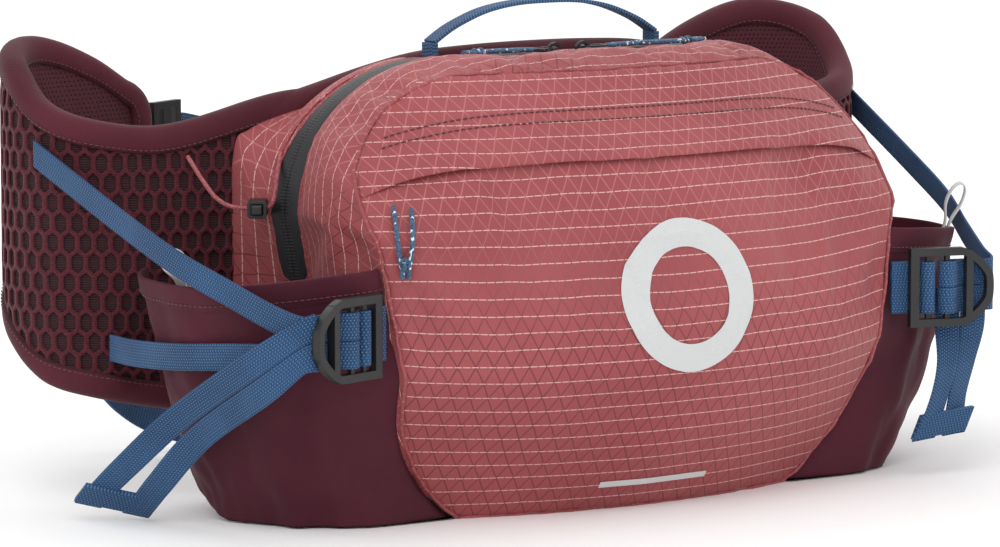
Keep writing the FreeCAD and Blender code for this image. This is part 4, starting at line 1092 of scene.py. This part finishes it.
def belt_wing(name, side, backing, fine, bars, tape, thread):
    along, tall = 104, 40
    start, end = -24.0, 232.0
    points, uvs, pins = [], [], []
    for face in (1, -1):
        for i in range(along + 1):
            d = start + (end - start) * i / along
            low, high = eased(d, 1) + 1.5, eased(d, 2) - 1.5
            for j in range(tall + 1):
                h = j / tall
                rim = min(1.0, 7 * min(h, 1 - h), 7 * (1 - i / along) + 0.0)
                thick = 1.0 + 3.6 * max(0.0, rim) ** 0.5
                points.append(wing_point(side, d, low + (high - low) * h, face * thick))
                uvs.append((d, low + (high - low) * h))
                pins.append(1.0 if h in (0, 1) or i in (0, along) else 0.0)
    half = (along + 1) * (tall + 1)
    outer = grid_faces(along + 1, tall + 1)
    inner = [tuple(half + k for k in f[::-1]) for f in outer]
    rim_faces = []
    for i in range(along):
        for j in (0, tall):
            a, b = i * (tall + 1) + j, (i + 1) * (tall + 1) + j
            quad = (a, b, half + b, half + a)
            rim_faces.append(quad if j else quad[::-1])
    for j in range(tall):
        for i in (0, along):
            a, b = i * (tall + 1) + j, i * (tall + 1) + j + 1
            quad = (a, b, half + b, half + a)
            rim_faces.append(quad[::-1] if i else quad)
    faces = outer + inner + rim_faces
    if side > 0:
        faces = [f[::-1] for f in faces]
    pad = piece(f"wing_pad_{name}", points, faces, backing, BAG, uvs)
    pad.data.materials.append(fine)
    pad.data.polygons.foreach_set("material_index", [0] * len(outer) + [1] * (len(inner) + len(rim_faces)))
    settle(pad, pins, 3.0, [1.4] * len(points), frames=12, bend=2.0)
    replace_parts(pad, f"wing_foam_{name}", f"wing_inner_mesh_{name}")
    refine(pad)
    tree = BVHTree.FromPolygons([v.co / MM for v in pad.data.vertices], faces)

    # the open mesh: bars round tall six-sided holes, in rows that interlock
    pitch, rise, tip, bar = 6.9, 9.3, 1.1, 1.1
    ring = [(0, rise / 2 + tip), (pitch / 2, rise / 2 - tip), (pitch / 2, -rise / 2 + tip),
            (0, -rise / 2 - tip), (-pitch / 2, -rise / 2 + tip), (-pitch / 2, rise / 2 - tip)]
    hole = [(x * (1 - 2 * bar / pitch), z - math.copysign(bar * 0.75, z)) for x, z in ring]
    cells, cell_faces, index = [], [], {}

    def vertex(d, z):
        key = (round(d * 20), round(z * 20))
        if key not in index:
            low, high = eased(min(WING_LONG, max(0, d)), 1) + 2, eased(min(WING_LONG, max(0, d)), 2) - 2
            zz = min(high, max(low, z))
            dd = min(end - 2, max(start, d))
            _, _, normal = wing_frame(dd)
            origin = wing_point(side, dd, zz, 30)
            way = Vector((-side * normal.x, -normal.y, 0))
            hit, _, _, _ = tree.ray_cast(origin, way)
            index[key] = len(cells)
            cells.append((hit if hit else wing_point(side, dd, zz, 4.6)) - way * 0.75)
        return index[key]

    for r in range(0, 20):
        z = 40 + r * rise
        for c in range(0, 38):
            d = start + c * pitch + (r % 2) * pitch / 2
            if not start - 4 < d < end + 2:
                continue
            low, high = eased(min(WING_LONG, d), 1), eased(min(WING_LONG, d), 2)
            if not low - 2 < z < high + 2:
                continue
            outer_ring = [vertex(d + x, z + h) for x, h in ring]
            inner_ring = [vertex(d + x, z + h) for x, h in hole]
            for k in range(6):
                m = (k + 1) % 6
                cell = (outer_ring[k], outer_ring[m], inner_ring[m], inner_ring[k])
                if len(set(cell)) == 4:
                    cell_faces.append(cell)
    if side < 0:
        cell_faces = [f[::-1] for f in cell_faces]
    lattice = piece(f"wing_open_mesh_{name}", cells, cell_faces, bars, BAG)
    thicken(lattice, 1.4, 0.0)
    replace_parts(lattice, f"wing_outer_mesh_{name}")

    # binding: a folded tape round the wing's edge
    corner = 13.0
    track = []
    steps = 88
    for i in range(steps + 1):
        d = start + (WING_LONG - corner - start) * i / steps
        track.append((d, eased(d, 2), 0.0))
    top, foot = eased(WING_LONG - corner, 2), eased(WING_LONG - corner, 1)
    for i in range(1, 9):
        a = math.pi / 2 * i / 8
        d = WING_LONG - corner + corner * math.sin(a)
        track.append((d, top - 6 - corner * (1 - math.cos(a)) + 6 * (1 - i / 8), a))
    for i in range(1, 9):
        a = math.pi / 2 * i / 8
        d = WING_LONG - corner + corner * math.cos(a)
        track.append((d, foot + 6 + corner * (1 - math.sin(a)) - 6 * i / 8, math.pi / 2 + a))
    for i in range(1, steps + 1):
        d = WING_LONG - corner - (WING_LONG - corner - start) * i / steps
        track.append((d, eased(d, 1), math.pi))
    section = [(6.3, -11), (6.7, -6), (6.2, -1.5), (3.6, 1.4), (0, 2.0), (-3.6, 1.4), (-6.2, -1.5),
               (-6.7, -6), (-6.3, -11), (-4.2, -11.4), (4.2, -11.4)]
    verts, tape_uvs, stitch_lines, total = [], [], ([], []), 0.0
    for n, (d, z, turn) in enumerate(track):
        if n:
            total += math.hypot(d - track[n - 1][0], z - track[n - 1][1])
        at, onward, normal = wing_frame(d)
        outward = onward * math.sin(turn) + Vector((0, 0, 1)) * math.cos(turn)
        base = Vector((at.x, at.y, z))
        wobble = 0.35 * noise.noise(Vector((total / 14, side, 0)))
        for k, (n_off, e_off) in enumerate(section):
            p = base + normal * (n_off + (wobble if n_off > 0 else -wobble)) + outward * e_off
            verts.append(Vector((side * p.x, p.y, p.z)))
            tape_uvs.append((k * 2.6, total))
        for line, sign in zip(stitch_lines, (1, -1)):
            p = base + normal * (6.55 * sign) + outward * -9.4
            q = normal * sign
            line.append((Vector((side * p.x, p.y, p.z)), Vector((side * q.x, q.y, 0))))
    faces = grid_faces(len(track), len(section), closed=True)
    if side < 0:
        faces = [f[::-1] for f in faces]
    binding = piece(f"wing_tape_{name}", verts, faces, tape, BAG, tape_uvs)
    refine(binding)
    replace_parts(binding, f"wing_binding_{name}")
    for label, line in zip(("outer", "inner"), stitch_lines):
        stitches(f"wing_stitches_{label}_{name}", [p for p, _ in line], [q for _, q in line], thread,
                 pitch=2.6, long=1.7)


def lumbar_pad(material, tape):
    """Three foam channels under spacer mesh against the wearer's back, with a taped edge."""
    rows, across = 48, 72
    points, uvs, pins = [], [], []
    for layer in (1, 0):
        for i in range(rows + 1):
            v = i / rows
            z = 8 + 190 * v
            half = half_width(z) - 10
            for j in range(across + 1):
                t = 2 * j / across - 1
                x = half * t
                rim = min(1.0, 9 * (1 - abs(t)), 9 * v, 9 * (1 - v))
                channel = math.exp(-((abs(t) - 0.3) / 0.035) ** 2)
                thick = layer * (1.0 + 12.0 * max(0, rim) ** 0.45 * (1 - 0.45 * channel))
                points.append(Vector((x, arc_y(x, *PAD_PLAN) + thick, z)))
                uvs.append((x, z))
                pins.append(1.0 if layer == 0 or rim < 0.2 or channel > 0.5 else 0.0)
    half_count = (rows + 1) * (across + 1)
    outer = [f[::-1] for f in grid_faces(rows + 1, across + 1)]
    inner = [tuple(half_count + k for k in f[::-1]) for f in outer]
    pad = piece("lumbar_padding", points, outer + inner, material, BAG, uvs)
    settle(pad, pins, 2.0, [1.6] * len(points), frames=10, bend=2.0)
    refine(pad)
    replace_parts(pad, "lumbar_foam", "lumbar_mesh")
    line = []
    for k in range(160):
        a = k / 160
        if a < 0.25:
            t, v = -1 + 8 * a, 0
        elif a < 0.5:
            t, v = 1, 4 * (a - 0.25)
        elif a < 0.75:
            t, v = 1 - 8 * (a - 0.5), 1
        else:
            t, v = -1, 1 - 4 * (a - 0.75)
        z = 8 + 190 * v
        x = (half_width(z) - 10) * t
        line.append(Vector((x, arc_y(x, *PAD_PLAN) + 1.5, z)))
    verts, faces = tube_along(line, 2.4, 8, Vector((0, 1, 0)), closed=True)
    tape_uvs = [(k % 8 * 1.8, k // 8 * 5.0) for k in range(len(verts))]
    piece("lumbar_edge_tape", verts, faces, tape, BAG, tape_uvs)


BAND_EDGE = [
    (146, 8.5, 184), (138, 6, 187), (113, -3, 195.5), (88, -8, 203),
    (62, -11.5, 208.5), (31, -13, 210.5), (0, -13.5, 211),
]
GUSSET_REAR = [
    (153.5, 4.8, 58), (153.5, 4.8, 160), (147, 3, 174),
    (131, -2.5, 181), (111, -9.5, 187), (90, -14.5, 195),
]


def back_band(tape, thread):
    """The thick bound edge that runs from wing to wing over the top of the back."""
    line = [Vector(p) for p in BAND_EDGE] + [Vector((-p[0], p[1], p[2])) for p in BAND_EDGE[-2::-1]]
    run = [Vector(v) for v in smooth_run(line, 4.0)]
    section = [(-5.6, -13), (-6.4, -7.5), (-6.0, -2.6), (-3.6, -0.3), (0, 0.4), (3.6, -0.3),
               (6.0, -2.6), (6.4, -7.5), (5.6, -13), (3.6, -14), (-3.6, -14)]
    verts, uvs, rows, lifts, total = [], [], [], [], 0.0
    for n, at in enumerate(run):
        way = (run[min(n + 1, len(run) - 1)] - run[max(n - 1, 0)]).normalized()
        flat = Vector((way.y, -way.x, 0)).normalized()
        rise = flat.cross(way)
        total += (at - run[n - 1]).length if n else 0.0
        for k, (across, up) in enumerate(section):
            verts.append(at - flat * across + rise * (up if rise.z > 0 else -up))
            uvs.append((k * 2.6, total))
        front = flat if flat.y < 0 else -flat
        rows.append(at + front * 6.2 + Vector((0, 0, -10.8)))
        lifts.append(front)
    faces = grid_faces(len(run), len(section), closed=True)
    band = piece("back_edge_band", verts, faces, tape, BAG, uvs)
    refine(band)
    stitches("back_band_stitches", rows, lifts, thread, pitch=2.6, long=1.7)


def wing_gusset(name, side, cloth):
    """The flank's cloth, carried back from the main zip to the belt wing's outer face."""
    rear = smooth_run(GUSSET_REAR, 4.0)
    rows, across = len(rear) - 1, 10
    points, uvs = [], []
    for i, end in enumerate(rear):
        z = 58 + 146 * i / rows
        x = half_width(z)
        start = Vector((x + 1.2, arc_y(x, *ZIP_BACK_PLAN) + 2.5, z))
        end = Vector(end)
        out = Vector((end.y - start.y, start.x - end.x, 0)).normalized()
        for j in range(across + 1):
            share = j / across
            fold = ripple((x, share * 22, z), 15, 1.6, 4.0 + side) + 1.8
            p = start.lerp(end, share) + out * (fold * math.sin(math.pi * share))
            points.append((side * p.x, p.y, p.z))
            uvs.append((z, start.y + 24 * share))
    faces = grid_faces(rows + 1, across + 1)
    if side > 0:
        faces = [f[::-1] for f in faces]
    gusset = piece(f"wing_gusset_{name}", points, faces, cloth, BAG, uvs)
    thicken(gusset, 1.0, -1.0)
    refine(gusset)


# ---- webbing


def lock_point(along, back, up=0.0):
    turn = math.radians(17)
    return (149.5 + along * math.cos(turn) + back * math.sin(turn),
            -117.5 - along * math.sin(turn) + back * math.cos(turn), 92.3 + up)


UPPER_ROUTE = [(236, 46.5, 165), (227, -15, 140), (219.5, -55, 124), (208.5, -85, 112), (199.5, -110, 102.5)]
LOWER_ROUTE = [(210.5, 21, 75), (215, -10, 76.5), (214.5, -45, 79), (205, -82, 82.5), (199, -110, 85)]
THREAD = [
    (44, 5.7), (30, 5.6), (20, 4.8), (16.4, 2.8), (15.6, 0), (16.8, -2.3), (19.1, -3.1),
    (21.6, -2.2), (24.2, 0.8), (27, 3.3), (33.8, 3.6), (38, 3.7),
]
TAIL_ROUTES = {
    "left": [
        ((193, -126, 92.3), (0, 0, 1)), ((207, -107, 76), (0.35, 0.3, 0.89)),
        ((216, -62, 49), (0.6, 0.52, 0.6)), ((224, -33, 24), (0.7, 0.55, 0.45)),
        ((229, -12, 5), (0.8, 0.56, 0.2)),
    ],
    "right": [
        ((180.5, -116.7, 91), (0.96, -0.29, 0)), ((180.2, -117.5, 72), (0.96, -0.29, 0)),
        ((177, -119, 54), (0.95, 0.1, 0)), ((171, -120, 36), (0.97, 0.2, 0)),
        ((166, -120, 19), (0.98, -0.15, 0.1)),
    ],
}


# how far apart a tail's two straps are at each of those points, as a share of their usual spacing
TAIL_APART = {"left": (1, 1, 1.05, 1.35, 1.75), "right": (1, 1, 0.95, 1.1, 1.3)}


def ladder_lock_webbing(name, side, material):
    def mirrored(stations):
        return [((side * p[0], p[1], p[2]), (side * e[0], e[1], e[2])) for p, e in stations]

    half = 12.5 / 2 + 0.15
    parts, ends = [], []
    for label, route, up in (("upper", UPPER_ROUTE, half), ("lower", LOWER_ROUTE, -half)):
        through = [(p, (0, 0, 12.5)) for p in route]
        through += [(lock_point(a, b, up), (0, 0, 12.5)) for a, b in THREAD]
        tail = []
        for (p, e), apart in zip(TAIL_ROUTES[name], TAIL_APART[name]):
            e = Vector(e).normalized()
            tail.append((tuple(Vector(p) + e * up * apart), tuple(e * 12.5)))
        ends.append(Vector(tail[-1][0]))
        way = (Vector(tail[-1][0]) - Vector(tail[-2][0])).normalized()
        if name == "left":
            parts.append(ribbon(f"strap_{label}_{name}", mirrored(through + tail), 1.3, material))
        else:
            parts.append(ribbon(f"strap_{label}_{name}", mirrored(through), 1.3, material))
            parts.append(ribbon(f"strap_tail_{label}_{name}", mirrored(tail), 1.3, material))
    reach = (ends[0] - ends[1]).normalized() * 6.2
    lift = Vector((0, 0, 1.5))
    fold = [(p - way * 5.8 + lift, way * 12.5) for p in (ends[0] + reach, ends[0], ends[1], ends[1] - reach)]
    ribbon(f"strap_fold_{name}", mirrored(fold), 2.9, material)
    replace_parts(parts[0], f"lock_strap_{name}")
    tab = [(-8, 4.6), (0, 4.6), (6, 4.4), (9.75, 3.5), (12.2, 2.0), (12.6, 0.7), (11.8, -1.3),
           (9.75, -2.1), (7.6, -1.2), (6.4, 0.8), (4.8, 2.6), (0, 3.1), (-8, 3.2)]
    stations = mirrored([(lock_point(a, b), (0, 0, 25)) for a, b in tab])
    loop = ribbon(f"lock_tab_webbing_{name}", stations, 1.3, material, step=1.0)
    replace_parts(loop, f"lock_tab_{name}")


def belt(material):
    y, z = 141, 148
    width = (0, 0, 25)
    reach = [(112, 123.5, 158.5), (80, 136, 151.5), (52, y, z)]
    right = [((x, yy, zz), width) for x, yy, zz in [(137.5, 112, 163.5), *reach, (23.5, y, z)]]
    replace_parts(ribbon("belt_web_right", right, 1.6, material), "belt_webbing_right")
    left = [(-41, y, z), *[(-x, yy, zz) for x, yy, zz in reach[::-1]], (-116, 121.5, 159)]
    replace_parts(ribbon("belt_web_left", [(p, width) for p in left], 1.6, material), "belt_webbing_left")
    tail = [
        ((-139, 120.5, 161), (0, 0, 1)), ((-158, 121.5, 155), (0.1, 0, 1)), ((-172, 124, 134), (0.8, 0, 0.6)),
        ((-178, 128, 104), (1, 0.1, 0.1)), ((-175, 132, 74), (0.9, 0.1, -0.3)),
        ((-163, 135, 48), (0.6, 0, -0.8)),
        ((-140, 138, 30), (0.35, 0, -0.93)), ((-113, 139, 18), (0.3, 0, -0.95)), ((-84, 138, 14), (0, 0, -1)),
    ]
    stations = [(p, tuple(Vector(e).normalized() * 25)) for p, e in tail]
    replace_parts(ribbon("belt_tail_web", stations, 1.6, material), "belt_tail")


def handle(material):
    stations = []
    for share in (-1, -0.93, -0.8, -0.55, -0.28, 0, 0.28, 0.55, 0.8, 0.93, 1):
        rise = 17 * (1 - abs(share) ** 2.6)
        stations.append(((63 * share, -24, 213.8 + rise), (0, 10, 0)))
    loop = ribbon("grab_loop", stations, 1.8, material, "handle")
    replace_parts(loop, "grab_handle")
    for name, side in SIDES:
        foot = [((side * 63, -24, z), (0, 10, 0)) for z in (206.4, 209.5, 211.5, 213.6)]
        part = ribbon(f"grab_foot_{name}", foot, 3.0, material, None, step=1.0)
        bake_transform(part)
        if side < 0:
            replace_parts(part, "handle_feet")


# ---- build


place_camera()
CORD = flecked_cord()
zip_cords(CORD)
front_zip_cord(CORD)
bungee_cords(elastic_cord())
studio()

FRONT_CLOTH = ripstop("ripstop_front")
SIDE_CLOTH = ripstop("ripstop_side", turned=True)
KNIT = stretch_knit()
TAPE = binding_tape()
WEBBING = webbing()
PLASTIC = moulded_plastic("moulded_plastic", 0.012)
METAL = painted_metal()
GREY = reflective_print()
RED_THREAD = thread_of("red_thread", (0.13, 0.018, 0.026))
WINE_THREAD = thread_of("wine_thread", (0.13, 0.03, 0.045))

tree, skin, rings, loop, count = bag_shell(FRONT_CLOTH, SIDE_CLOTH)
front_flap(tree, FRONT_CLOTH, RED_THREAD)
seam_welt("front_seam", [skin[k] for k in loop] + [skin[loop[0]]], 1.1, SIDE_CLOTH, 1.0)
main_zip(skin, rings, loop, count, coated_tape(), SIDE_CLOTH)
badge(tree, GREY)
FINE = fine_mesh()
lumbar_pad(FINE, TAPE)
back_band(TAPE, WINE_THREAD)
BACKING, BARS = mesh_backing(), mesh_bars()
for name, side in SIDES:
    side_pocket(name, side, KNIT, WINE_THREAD, KNIT)
    finger_loop(name, side, GREY)
    belt_wing(name, side, BACKING, FINE, BARS, TAPE, WINE_THREAD)
    wing_gusset(name, side, SIDE_CLOTH)
    ladder_lock_webbing(name, side, WEBBING)
belt(WEBBING)
handle(WEBBING)

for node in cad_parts.values():
    if not node.hide_render:
        metal = node.name.startswith(("main_slider", "pull_ring", "front_slider"))
        node.data.materials.clear()
        node.data.materials.append(METAL if metal else PLASTIC)
